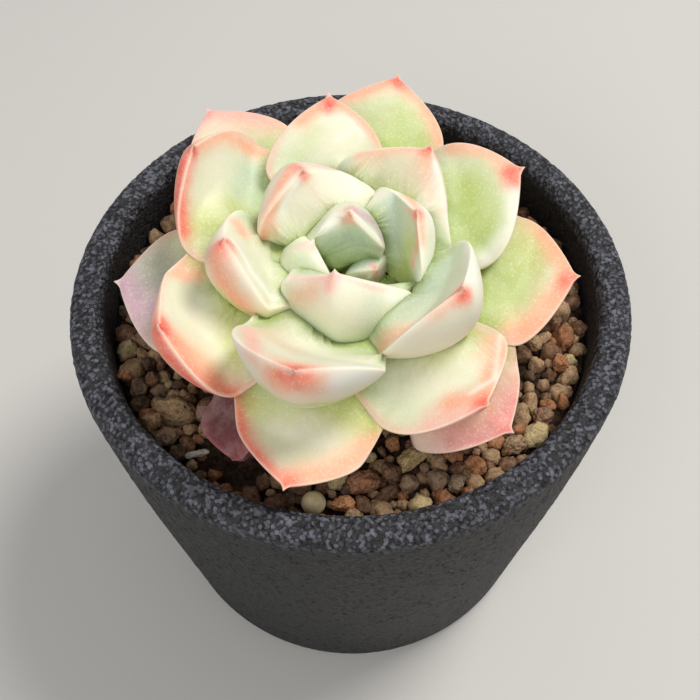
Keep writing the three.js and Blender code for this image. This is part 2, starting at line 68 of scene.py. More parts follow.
# ------------------------------------------------------------------ numbers
def clip01(x):
    return np.clip(x, 0.0, 1.0)


def smooth(x, a, b):
    """0 below a, 1 above b, smooth between (a may be above b)."""
    t = clip01((x - a) / (b - a))
    return t * t * (3 - 2 * t)


def mix(a, b, t):
    return a + (b - a) * t


def lin(c):
    """sRGB colour as linear numbers."""
    c = np.asarray(c, float)
    return np.where(c <= 0.04045, c / 12.92, ((c + 0.055) / 1.055) ** 2.4)


def whole(x):
    return (x.astype(np.int64) & 0xFFFFFFFF).astype(np.uint32)


def hash3(ix, iy, iz, k=0):
    with np.errstate(over="ignore"):
        h = (whole(ix) * np.uint32(374761393) + whole(iy) * np.uint32(668265263)
             + whole(iz) * np.uint32(1274126177) + np.uint32((k * 2246822519) & 0xFFFFFFFF))
        h = (h ^ (h >> np.uint32(13))) * np.uint32(1103515245)
        h = (h ^ (h >> np.uint32(16))) * np.uint32(2654435769)
        return h ^ (h >> np.uint32(15))


def unit(h):
    return h.astype(np.float64) / 4294967296.0


def noise(p, k=0):
    """Smooth gradient noise, about -1..1, at points p (n, 3)."""
    p = np.asarray(p, float)
    i = np.floor(p)
    f = p - i
    u = f * f * f * (f * (f * 6 - 15) + 10)
    out = np.zeros(len(p))
    for dx in (0, 1):
        for dy in (0, 1):
            for dz in (0, 1):
                h = hash3(i[:, 0] + dx, i[:, 1] + dy, i[:, 2] + dz, k)
                a = unit(h) * 2 * math.pi
                z = unit(hash3(i[:, 0] + dx, i[:, 1] + dy, i[:, 2] + dz, k + 101)) * 2 - 1
                r = np.sqrt(1 - z * z)
                g = (f[:, 0] - dx) * r * np.cos(a) + (f[:, 1] - dy) * r * np.sin(a) + (f[:, 2] - dz) * z
                wx = u[:, 0] if dx else 1 - u[:, 0]
                wy = u[:, 1] if dy else 1 - u[:, 1]
                wz = u[:, 2] if dz else 1 - u[:, 2]
                out += wx * wy * wz * g
    return out * 1.6


def fbm(p, octaves=3, k=0):
    p = np.asarray(p, float)
    out, a, s = np.zeros(len(p)), 1.0, 0.0
    for o in range(octaves):
        out += a * noise(p * (2.03 ** o) + 17.3 * o, k + o)
        s += a
        a *= 0.5
    return out / s


def cells(p, k=0):
    """Distances to the nearest and second nearest of one random point per unit cube."""
    p = np.asarray(p, float)
    i = np.floor(p)
    f1 = np.full(len(p), 9.0)
    f2 = np.full(len(p), 9.0)
    for dx in (-1, 0, 1):
        for dy in (-1, 0, 1):
            for dz in (-1, 0, 1):
                cx, cy, cz = i[:, 0] + dx, i[:, 1] + dy, i[:, 2] + dz
                qx = cx + unit(hash3(cx, cy, cz, k))
                qy = cy + unit(hash3(cx, cy, cz, k + 7))
                qz = cz + unit(hash3(cx, cy, cz, k + 13))
                d = np.sqrt((p[:, 0] - qx) ** 2 + (p[:, 1] - qy) ** 2 + (p[:, 2] - qz) ** 2)
                f2 = np.where(d < f1, f1, np.minimum(f2, d))
                f1 = np.minimum(f1, d)
    return f1, f2


# ------------------------------------------------------------------ meshes
def make_mesh(name, verts, faces, layers=None, sharp=False):
    """verts in mm (n, 3); faces: list of index arrays (m, 3) or (m, 4); layers: name -> (n, 3) or (n,) numbers."""
    me = bpy.data.meshes.new(name)
    verts = np.asarray(verts, float) * MM
    blocks = [np.asarray(f, np.int64) for f in (faces if isinstance(faces, list) else [faces]) if len(f)]
    loops = np.concatenate([b.ravel() for b in blocks])
    sizes = np.concatenate([np.full(len(b), b.shape[1]) for b in blocks])
    me.vertices.add(len(verts))
    me.vertices.foreach_set("co", verts.astype(np.float32).ravel())
    me.loops.add(len(loops))
    me.loops.foreach_set("vertex_index", loops.astype(np.int32))
    me.polygons.add(len(sizes))
    starts = np.concatenate([[0], np.cumsum(sizes)[:-1]])
    me.polygons.foreach_set("loop_start", starts.astype(np.int32))
    me.polygons.foreach_set("use_smooth", np.full(len(sizes), not sharp))
    me.update(calc_edges=True)
    me.validate()
    for key, val in (layers or {}).items():
        val = np.asarray(val, np.float32)
        if val.ndim == 1:
            a = me.attributes.new(key, "FLOAT", "POINT")
            a.data.foreach_set("value", val)
        else:
            a = me.attributes.new(key, "FLOAT_COLOR", "POINT")
            a.data.foreach_set("color", np.concatenate([val, np.ones((len(val), 1), np.float32)], 1).ravel())
    ob = bpy.data.objects.new(name, me)
    bpy.context.scene.collection.objects.link(ob)
    return ob


def ring_faces(rows, cols, start=0, close_rows=False):
    """Quads of a grid of rows x cols points whose columns close on themselves."""
    r = np.arange(rows if close_rows else rows - 1)
    c = np.arange(cols)
    R, C = np.meshgrid(r, c, indexing="ij")
    R2, C2 = (R + 1) % rows, (C + 1) % cols
    q = np.stack([R * cols + C, R * cols + C2, R2 * cols + C2, R2 * cols + C], -1).reshape(-1, 4)
    return q + start


# ------------------------------------------------------------------ materials
class Nodes:
    """Short calls for a material's node tree."""

    def __init__(self, name):
        self.mat = bpy.data.materials.new(name)
        self.mat.use_nodes = True
        self.t = self.mat.node_tree
        self.t.nodes.clear()
        self.out = self.t.nodes.new("ShaderNodeOutputMaterial")
        self.bsdf = self.t.nodes.new("ShaderNodeBsdfPrincipled")
        self.t.links.new(self.bsdf.outputs[0], self.out.inputs["Surface"])
        tc = self.t.nodes.new("ShaderNodeTexCoord")
        self.obj = tc.outputs["Object"]

    def link(self, a, b):
        if hasattr(a, "is_linked"):
            self.t.links.new(a, b)
        else:
            b.default_value = a

    def attr(self, name, out="Color"):
        n = self.t.nodes.new("ShaderNodeAttribute")
        n.attribute_name = name
        return n.outputs[out]

    def noise(self, scale, detail=2.0, rough=0.5, vec=None, dist=0.0, out="Fac"):
        n = self.t.nodes.new("ShaderNodeTexNoise")
        n.inputs["Scale"].default_value = scale
        n.inputs["Detail"].default_value = detail
        n.inputs["Roughness"].default_value = rough
        n.inputs["Distortion"].default_value = dist
        self.t.links.new(vec or self.obj, n.inputs["Vector"])
        return n.outputs[out]

    def voronoi(self, scale, vec=None, feature="F1", out="Distance", rand=1.0):
        n = self.t.nodes.new("ShaderNodeTexVoronoi")
        n.feature = feature
        n.inputs["Scale"].default_value = scale
        n.inputs["Randomness"].default_value = rand
        self.t.links.new(vec or self.obj, n.inputs["Vector"])
        return n.outputs[out]

    def math(self, op, a, b=0.0, clamp=False):
        n = self.t.nodes.new("ShaderNodeMath")
        n.operation = op
        n.use_clamp = clamp
        self.link(a, n.inputs[0])
        self.link(b, n.inputs[1])
        return n.outputs[0]

    def ramp(self, x, lo, hi, to_lo=0.0, to_hi=1.0):
        n = self.t.nodes.new("ShaderNodeMapRange")
        n.interpolation_type = "SMOOTHSTEP"
        self.link(x, n.inputs["Value"])
        n.inputs["From Min"].default_value = lo
        n.inputs["From Max"].default_value = hi
        n.inputs["To Min"].default_value = to_lo
        n.inputs["To Max"].default_value = to_hi
        return n.outputs["Result"]

    def mix(self, fac, a, b, how="MIX"):
        n = self.t.nodes.new("ShaderNodeMix")
        n.data_type = "RGBA"
        n.blend_type = how
        n.clamp_factor = True
        self.link(fac, n.inputs[0])
        for v, s in ((a, n.inputs[6]), (b, n.inputs[7])):
            if hasattr(v, "is_linked"):
                self.t.links.new(v, s)
            else:
                s.default_value = (*[float(x) for x in v], 1.0)
        return n.outputs[2]

    def stretch(self, x, y, z, vec=None):
        n = self.t.nodes.new("ShaderNodeMapping")
        n.inputs["Scale"].default_value = (x, y, z)
        self.t.links.new(vec or self.obj, n.inputs["Vector"])
        return n.outputs[0]

    def bump(self, height, strength, dist, below=None):
        n = self.t.nodes.new("ShaderNodeBump")
        n.inputs["Strength"].default_value = strength
        n.inputs["Distance"].default_value = dist
        self.t.links.new(height, n.inputs["Height"])
        if below is not None:
            self.t.links.new(below, n.inputs["Normal"])
        return n.outputs[0]

    def set(self, **kw):
        for k, v in kw.items():
            self.link(v, self.bsdf.inputs[k.replace("_", " ")])
        return self.mat


def put(ob, mat, replaces=()):
    ob.data.materials.clear()
    ob.data.materials.append(mat)
    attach(ob, "root")
    if replaces:
        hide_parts(*replaces)
    return ob


# ------------------------------------------------------------------ leaves
# One row per leaf, innermost first:
# base x, y, z (mm); heading (deg); length (mm); pitch at base, middle and tip (deg);
# sideways bend (deg); sideways drift at the tip (mm); roll and roll change (deg);
# half width (mm); where it is widest (share of length); tip fullness; base width share;
# lower and upper half thickness (mm); cupping;
# how far the upper face fills its trough, and how far it stands above it (mm).
LEAVES = {
    "leaf_heart_1": [0.62, 2.85, 75.46, 84.59, 6.24, 86.32, 99.59, 96.82, -2.54, 0.121, -12.26, -2.44, 2.5, 0.598, 2.207, 0.32, 1.25, 0.39, 0.266, 0.8, 0.6],
    "leaf_heart_2": [2.22, -2.34, 79.4, -50.12, 8.59, 72.15, 65.77, 48.64, -0.18, -1.142, -6.8, -1.07, 4.04, 0.566, 2.087, 0.319, 2.17, 0.6, 0.285, 0.8, 0.6],
    "leaf_inner_1": [-1.81, -0.43, 80.65, 216.3, 14.56, 32.69, 58.63, 131.42, 2.02, 1.693, -18.96, 24.31, 6.3, 0.564, 2.229, 0.373, 4.39, 0.36, 0.369, 0.5, 0.5],
    "leaf_inner_3": [0.05, 2.51, 80.67, 85.11, 15.63, 77.73, 111.59, 115.77, -3.89, -0.362, -10.99, -7.56, 6.48, 0.6, 2.206, 0.326, 3.19, 0.36, 0.392, 0.6, 0.5],
    "leaf_inner_4": [3.13, -0.43, 80.79, 2.76, 17.14, 42.17, 66.74, 106.87, -2.44, -2.813, 19.16, -14.7, 9.17, 0.605, 2.358, 0.33, 3.11, 0.09, 0.243, 0.5, 0.3],
    "leaf_inner_2": [-0.52, -4.6, 80.12, -91.86, 22.68, 2.89, 60.88, 118.02, 2.54, -1.269, -2.4, -19.98, 9.53, 0.598, 2.287, 0.324, 4.53, 0.44, 0.417, 0.9, 0.8],
    "leaf_middle_1": [-3.19, 2.43, 81.95, 146.15, 17.92, 35.07, 80.85, 116.02, 3.35, 1.496, -22.85, 4.18, 9.32, 0.535, 2.657, 0.205, 4.55, 0.93, 0.284, 0.6, 0.5],
    "leaf_middle_2": [-4.46, -1.24, 79.96, 205.28, 25.53, 9.63, 47.53, 102.03, 16.07, 1.409, -14.2, 6.3, 9.85, 0.568, 1.955, 0.2, 4.1, 0.36, 0.304, 0.9, 0.9],
    "leaf_middle_4": [3.18, -3.73, 79.18, 311.39, 29.76, 10.28, 47.33, 86.61, -5.6, -1.705, 19.62, -14.52, 10.54, 0.603, 2.492, 0.317, 4.46, 0.61, 0.375, 0.35, 0.2],
    "leaf_middle_3": [-2.53, -4.75, 77.08, 259.22, 38.61, 9.42, 40.7, 73.55, 13.93, 0.397, -12.36, 12.63, 10.65, 0.623, 2.366, 0.2, 4.14, 0.64, 0.365, 0.5, 0.6],
    "leaf_middle_5": [2.09, 2.06, 79.14, 46.85, 21.72, 30.02, 59.32, 63.59, -0.21, -2.366, 2.87, -3.6, 10.31, 0.567, 2.174, 0.312, 4.33, 0.66, 0.348, 0.95, 1],
    "leaf_outer_1": [-0.86, 2.99, 78.74, 106.74, 26.46, 17.47, 44.19, 25.1, -15.53, -3.294, 5.64, 1.6, 10.16, 0.528, 2.16, 0.323, 3.93, 0.56, 0.094, 0.8, 0.7],
    "leaf_outer_2": [-3, 1.73, 77.82, 157.79, 32.73, 15.5, 34.93, 107.7, 7.5, 0.673, -1.31, 0.07, 12.32, 0.666, 2.23, 0.256, 3.68, 0.25, 0.123, 0.8, 0.7],
    "leaf_outer_4": [2.04, -2.82, 77.06, 299.52, 34.08, 4.35, 17.22, 47.67, 9.7, -0.112, 7.47, 8.88, 11.49, 0.625, 2.616, 0.275, 3.1, 0.05, 0.078, 0.8, 0.7],
    "leaf_outer_5": [-3.21, -1.68, 77.09, 212.67, 34.84, 11.52, 18.23, 88.25, 2.58, 2.312, -10.82, -5.86, 11.68, 0.662, 2.502, 0.249, 3.98, 0.05, 0.189, 0.8, 0.7],
    "leaf_outer_3": [3.33, 1.13, 77.86, 20.02, 28.42, 11.81, 35.78, 32.03, -9.8, 0.254, 1.02, 8.58, 11.99, 0.626, 2.217, 0.306, 4.14, 0.52, 0.11, 0.8, 0.7],
    "leaf_low_4": [-0.89, -4.33, 76.51, 256.65, 36.12, -1, 9.18, 24.54, -0.35, 0.059, -2.98, -12.95, 10.43, 0.677, 2.088, 0.252, 3.1, 0.05, 0.04, 0.8, 0.7],
    "leaf_low_2": [3.73, -0.61, 76.42, -8.15, 32.17, 1.83, 14.59, 34.11, -5.97, -0.43, 4.34, 8.35, 12.26, 0.656, 2.236, 0.309, 3.86, 0.37, 0.101, 0.8, 0.7],
    "leaf_low_3": [2.54, -3.65, 75.16, -54.2, 33.55, -9.2, 11.78, 23.54, 10.83, -0.274, 2.25, 15.33, 10.92, 0.635, 2.221, 0.31, 3.1, 0.05, -0.034, 0.8, 0.7],
    "leaf_low_1": [0.96, 3.02, 77.08, 78.89, 34.78, 8.47, 19.06, 27.97, -9.83, -0.495, 3.69, -1.21, 10.82, 0.634, 2.152, 0.321, 4.27, 0.69, 0.159, 0.8, 0.7],
    "leaf_low_6": [-2.04, 2.76, 76.61, 128.51, 36.63, -0.31, 14.63, 22.62, -2.46, -0.004, 1.36, 0.5, 10.44, 0.638, 2.411, 0.312, 3.82, 0.37, 0.113, 0.8, 0.7],
    "leaf_low_5": [-3.29, -0.52, 76.18, 185.28, 33.67, -8.99, 7.68, 24.95, -10.64, -0.024, -10.89, -8.59, 11.28, 0.68, 2.266, 0.291, 3.46, 0.33, 0.095, 0.8, 0.7],
    "leaf_maroon": [-1.83, -3.24, 75.25, 241.01, 31.74, -3.88, -0.58, 8.77, 3.61, -0.323, 1.12, 2.25, 8.6, 0.723, 4.5, 0.297, 2.3, 0.06, -0.039, 0.8, 0.7],
    "leaf_withered": [-2.02, -3.29, 73.97, 235, 32.12, -9.58, -2.88, 2.01, -15.03, 0.698, 0.97, -20.02, 8.99, 0.627, 4.2, 0.326, 1.9, 0.05, 0.137, 0.8, 0.7],
    "leaf_under_1": [0.84, -2.96, 74.46, 282.38, 23.22, -16.45, -0, 7.74, 0.27, 0, 1.3, 0.28, 7.79, 0.634, 2.2, 0.352, 2.72, 0.09, -0.019, 0.8, 0.7],
    "leaf_under_2": [1.4, 1.31, 74.35, 41.32, 26, -8.91, 5.79, 9.57, -0.08, 0, 3.7, -2.59, 9, 0.6, 2.2, 0.32, 3.54, 0.79, 0.155, 0.8, 0.7],
    "leaf_under_3": [-1.99, 0.74, 73.73, 149.91, 26.19, -8.12, 3.62, 7.48, 0.11, 0, -4.71, 3.51, 8.91, 0.615, 2.2, 0.321, 3.08, 0.43, 0.027, 0.8, 0.7],
}
ROWS, COLS = 58, 76  # points along a leaf and round its section
SPIKE = 0.75  # mm, the small soft point at a leaf's tip


def leaf_spine(P, u):
    """Points, directions, side and upward vectors at the shares u of a leaf's length."""
    bx, by, bz, th, L, pb, pm, pt, beta, drift, ro0, ro1, W, um, p, g0, TB, TA, cup = P[:19]
    fine = np.linspace(0, 1, 121)
    a, b = 2 * (pb - 2 * pm + pt), -3 * pb + 4 * pm - pt

    def ways(t):
        phi = (pb + b * t + a * t * t) * RAD
        the = (th + beta * (t - 0.35)) * RAD
        return phi, the

    phi, the = ways(fine)
    T = np.stack([np.cos(phi) * np.cos(the), np.cos(phi) * np.sin(the), np.sin(phi)], -1)
    M = np.zeros((121, 3))
    M[1:] = np.cumsum((T[1:] + T[:-1]) / 2, 0) * (L / 120)
    M += np.array([bx, by, bz])
    Mi = np.stack([np.interp(u, fine, M[:, k]) for k in range(3)], -1)
    phi, the = ways(u)
    T = np.stack([np.cos(phi) * np.cos(the), np.cos(phi) * np.sin(the), np.sin(phi)], -1)
    S0 = np.stack([-np.sin(the), np.cos(the), 0 * u], -1)
    N0 = np.stack([-np.sin(phi) * np.cos(the), -np.sin(phi) * np.sin(the), np.cos(phi)], -1)
    ro = (ro0 + ro1 * (u - 0.5)) * RAD
    c, s = np.cos(ro)[:, None], np.sin(ro)[:, None]
    return Mi, T, c * S0 + s * N0, -s * S0 + c * N0


def leaf_section(P, u):
    """Half width, lower and upper half thickness, cupping and sideways drift at u."""
    W, um, p, g0, TB, TA, cup = P[12:19]
    s1 = clip01(1 - u / um)
    s2 = clip01((u - um) / (1 - um))
    g = np.where(u < um, 1 - (1 - g0) * s1 ** 1.9, 1 - s2 ** p)
    h0 = 0.70 + 0.30 * np.sin(np.pi / 2 * clip01(u / 0.45))
    s3 = clip01((u - 0.45) / 0.55)
    h = np.where(u < 0.45, h0, np.maximum(0, 1 - s3 ** 2.6) ** 0.62)
    base = 0.5 + 0.5 * smooth(u, 0, 0.25)
    return W * g * base, TB * h * base, TA * h * base, cup * (0.25 + 0.75 * clip01(u / 0.6)), P[9] * u ** 3


def evened(move, times):
    """A field of moves on a leaf's grid, evened out between neighbouring points."""
    for _ in range(times):
        a = (np.roll(move, 1, 1) + np.roll(move, -1, 1)) / 2
        b = move.copy()
        b[1:-1] = (move[2:] + move[:-2]) / 2
        move = 0.4 * move + 0.3 * a + 0.3 * b
    return move


def unpleated(grid, before, times):
    """The grid with the folds evened out near the places where it was pushed."""
    moved = (np.linalg.norm(grid - before, axis=-1) > 0.05).astype(float)
    zone = clip01(3 * evened(moved[..., None], 8))
    zone[:2] = zone[-9:] = 0
    for _ in range(times):
        mean = (np.roll(grid, 1, 1) + np.roll(grid, -1, 1)) / 4
        mean[1:-1] += (grid[2:] + grid[:-2]) / 4
        mean[[0, -1]] *= 2
        grid = grid + 0.5 * zone * (mean - grid)
    return grid


def leaf_shape(P, seed, spike_len):
    """The leaf's grid of points (rows, cols, 3), with u, v and side (1 upper, -1 lower) per point, and the poles."""
    L, W = P[4], P[12]
    tail = 6  # rows of the soft point
    n = ROWS - tail
    t = np.linspace(0, 1, n)
    u_end = 1 - 0.42 / L
    u = u_end * (0.035 + 0.965 * (0.55 * t + 0.45 * (1 - (1 - t) ** 2.0)))
    psi = np.linspace(0, 2 * np.pi, COLS, endpoint=False)
    psi = psi - 0.16 * np.sin(2 * psi)  # more points near the margins
    v, sn = np.cos(psi)[None, :], np.sin(psi)[None, :]
    up = sn >= 0
    A = 0.38 * np.abs(sn) + 0.62 * sn * sn
    B = 0.38 * np.abs(sn) + 0.62 * (0.75 * sn * sn + 0.25 * (1 - np.abs(v)))
    M, T, S, N = leaf_spine(P, u)
    w, tb, ta, cu, off = leaf_section(P, u)
    # a leaf is never quite regular: its width wanders a little
    rng = np.random.default_rng(seed)
    ph = rng.uniform(0, 6.28, 6)
    wave = 1 + 0.012 * np.sin(7 * u + ph[0]) * smooth(u, 0.2, 0.6) * smooth(u, 1.0, 0.9)
    w = w * wave
    fill, bulge = P[19:21]
    grow = smooth(u, 0.06, 0.42)
    rest = np.maximum(0, 1 - clip01((u - 0.45) / 0.55) ** 2.6) ** 0.62
    want = (fill * cu * w * grow + bulge * grow * rest)[:, None] * (1 - v * v) * up
    z = (cu * w)[:, None] * v * v + np.where(up, ta[:, None] * A + (0.55 * rest)[:, None] * np.abs(sn) ** 0.7, -tb[:, None] * B)
    x = off[:, None] + w[:, None] * v
    body = M[:, None, :] + x[..., None] * S[:, None, :] + z[..., None] * N[:, None, :]
    body = body + N[:, None, :] * want[..., None]
    # margins are rounded, less so towards the tip
    soft = smooth(np.abs(v), 0.55, 0.95) * smooth(u, 0.99, 0.90)[:, None]
    for _ in range(7):
        body = body + 0.5 * soft[..., None] * ((np.roll(body, 1, 1) + np.roll(body, -1, 1)) / 2 - body)
    # soft point: from the last section down to a small blunt end
    M1, T1, S1, N1 = M[-1], T[-1], S[-1], N[-1]
    e = np.linspace(0, 1, tail + 1)[1:]
    w1, tb1, ta1 = w[-1], tb[-1], ta[-1]
    r = 0.30 * (1 - e ** 2.2) ** 0.5 * (1 - 0.45 * e)
    k = (1 - e) ** 2.4
    wt, bt, at = r + (w1 - 0.30) * k, r + max(tb1 - 0.30, 0) * k, r + (ta1 - 0.30) * k
    c0 = M1 + off[-1] * S1 + (0.5 * (ta1 - tb1)) * N1 * 0.0
    step = (0.42 + spike_len) * e
    drop = -0.18 * e
    xt = wt[:, None] * v
    zt = np.where(up, at[:, None], -bt[:, None]) * np.abs(sn) + (cu[-1] * w1 * k)[:, None] * v * v
    spike = (c0[None, None, :] + (step[:, None] * T1 + drop[:, None] * N1)[:, None, :]
             + xt[..., None] * S1 + zt[..., None] * N1)
    grid = np.concatenate([body, spike], 0)
    uu = np.concatenate([u, 1 + step / L])
    base_pole = M[0] - 0.55 * T[0]
    tip_pole = c0 + (0.42 + spike_len) * 1.03 * T1 - 0.18 * N1
    U = np.repeat(uu[:, None], COLS, 1)
    V = np.repeat(v, len(uu), 0)
    side = np.repeat(np.where(sn >= 0, 1.0, -1.0), len(uu), 0)
    ws = np.concatenate([w, wt])
    return grid, U, V, side, ws, base_pole, tip_pole


def leaf_faces(rows, cols):
    """Faces of the closed leaf: the grid, then the base pole and the tip pole as the last two points."""
    q = ring_faces(rows, cols)[:, ::-1]
    b, t = rows * cols, rows * cols + 1
    c = np.arange(cols)
    c2 = (c + 1) % cols
    lo = np.stack([np.full(cols, b), c, c2], -1)[:, ::-1]
    hi = np.stack([np.full(cols, t), (rows - 1) * cols + c2, (rows - 1) * cols + c], -1)[:, ::-1]
    return q, lo, hi


def tree_of(verts, faces):
    polys = []
    for f in faces:
        polys.extend(map(tuple, f.tolist()))
    return BVHTree.FromPolygons(verts.tolist(), polys)


def pushed_out(grid, trees, gap, most):
    """The grid with its points moved out of the bodies in trees, so that neighbours touch but don't cut."""
    flat = grid.reshape(-1, 3)
    move = np.zeros_like(flat)
    for lo, hi, tree in trees:
        near = np.all((flat > lo - 0.5) & (flat < hi + 0.5), 1)
        for i in np.nonzero(near)[0]:
            p = Vector(flat[i] + move[i])
            hit, nrm, _, dist = tree.find_nearest(p, 4.0)
            if hit is None:
                continue
            d = (p - hit).dot(nrm)
            inside = d < 0
            if inside or dist < gap:
                target = hit + nrm * gap
                move[i] += np.array(target - p)
    size = np.linalg.norm(move, axis=1)
    move *= (np.minimum(size, most) / np.maximum(size, 1e-9))[:, None]
    return move.reshape(grid.shape)


leaf_data = {}
done = []
q, lo_f, hi_f = leaf_faces(ROWS, COLS)
for number, (name, P) in enumerate(LEAVES.items()):
    P = np.array(P, float)
    grid, U, V, side, ws, pole0, pole1 = leaf_shape(P, 40 + number, 0.1 if name in ("leaf_maroon", "leaf_withered") else SPIKE)
    if done:
        before = grid
        for rounds, gap in ((3, 0.14), (2, 0.1), (1, 0.08)):
            grid = grid + evened(pushed_out(grid, done, gap, 3.0), rounds)
        grid = unpleated(grid, before, 10)
        grid = unpleated(grid + pushed_out(grid, done, 0.08, 1.6), before, 2)
        grid = grid + pushed_out(grid, done, 0.04, 1.2)
    # how far each point of the leaf is from the leaves it leans on, which sets the painted crease shade below
    flat = grid.reshape(-1, 3)
    crease = np.full(len(flat), 9.0)
    for lo, hi, tree in done:
        for i in np.nonzero(np.all((flat > lo - 3) & (flat < hi + 3), 1))[0]:
            hit = tree.find_nearest(Vector(flat[i]), 3.0)
            if hit[0] is not None:
                crease[i] = min(crease[i], hit[3])
    verts = np.concatenate([flat, [pole0, pole1]])
    tree = tree_of(verts, [q, lo_f, hi_f])
    done.append((verts.min(0), verts.max(0), tree))
    leaf_data[name] = dict(P=P, grid=grid, U=U, V=V, side=side, ws=ws, verts=verts, crease=crease.reshape(U.shape))

# ------------------------------------------------------------------ leaf colours
GREEN_DEEP = (0.56, 0.66, 0.22)
GREEN = (0.70, 0.77, 0.42)
LIME = (0.76, 0.80, 0.38)
PALE = (0.80, 0.85, 0.71)
BLUE = (0.71, 0.79, 0.70)
CREAM = (0.91, 0.90, 0.80)
TAN = (0.85, 0.80, 0.62)
WHITE = (0.94, 0.95, 0.90)
PEACH = (0.96, 0.66, 0.52)
PINK = (0.96, 0.64, 0.60)
DUSKY = (0.86, 0.50, 0.48)
CORAL = (0.95, 0.38, 0.29)
RED = (0.84, 0.16, 0.15)
LILAC = (0.74, 0.59, 0.66)
GREY = (0.66, 0.70, 0.60)
SPECK = (0.78, 0.66, 0.34)
# deep green painted into the creases between leaves: painted shade
CREASE_SHADE = (0.54, 0.64, 0.16)

# per leaf: upper face from base to tip, lower face from base to tip, margin colour and width (mm), tip colour and size (mm)
LOOK = {
    "heart": ((BLUE, BLUE, BLUE), (BLUE, BLUE, LILAC), WHITE, 0.4, PINK, 0.6),
    "inner": ((GREEN, PALE, PALE), (PALE, PALE, CREAM), WHITE, 0.6, PINK, 1.0),
    "middle": ((GREEN, PALE, CREAM), (PALE, CREAM, CREAM), WHITE, 0.7, CORAL, 1.2),
    "outer": ((GREEN_DEEP, PALE, CREAM), (GREEN, PALE, PEACH), PINK, 1.2, CORAL, 1.4),
    "low": ((GREEN_DEEP, GREEN, CREAM), (GREEN, PALE, PEACH), PINK, 1.6, CORAL, 1.5),
    "under": ((GREEN_DEEP, GREEN, PALE), (GREEN, PALE, PEACH), PINK, 2.0, CORAL, 2.0),
    "maroon": (((0.28, 0.13, 0.15), (0.36, 0.18, 0.20), (0.50, 0.27, 0.29)), ((0.42, 0.24, 0.25), (0.50, 0.30, 0.32), (0.60, 0.38, 0.38)),
               (0.68, 0.42, 0.44), 1.0, (0.55, 0.26, 0.27), 1.5),
    "withered": (((0.32, 0.19, 0.17), (0.42, 0.26, 0.24), (0.50, 0.34, 0.30)), ((0.32, 0.20, 0.17), (0.42, 0.27, 0.24), (0.50, 0.34, 0.30)),
                 (0.56, 0.40, 0.36), 1.0, (0.38, 0.22, 0.20), 1.5),
}
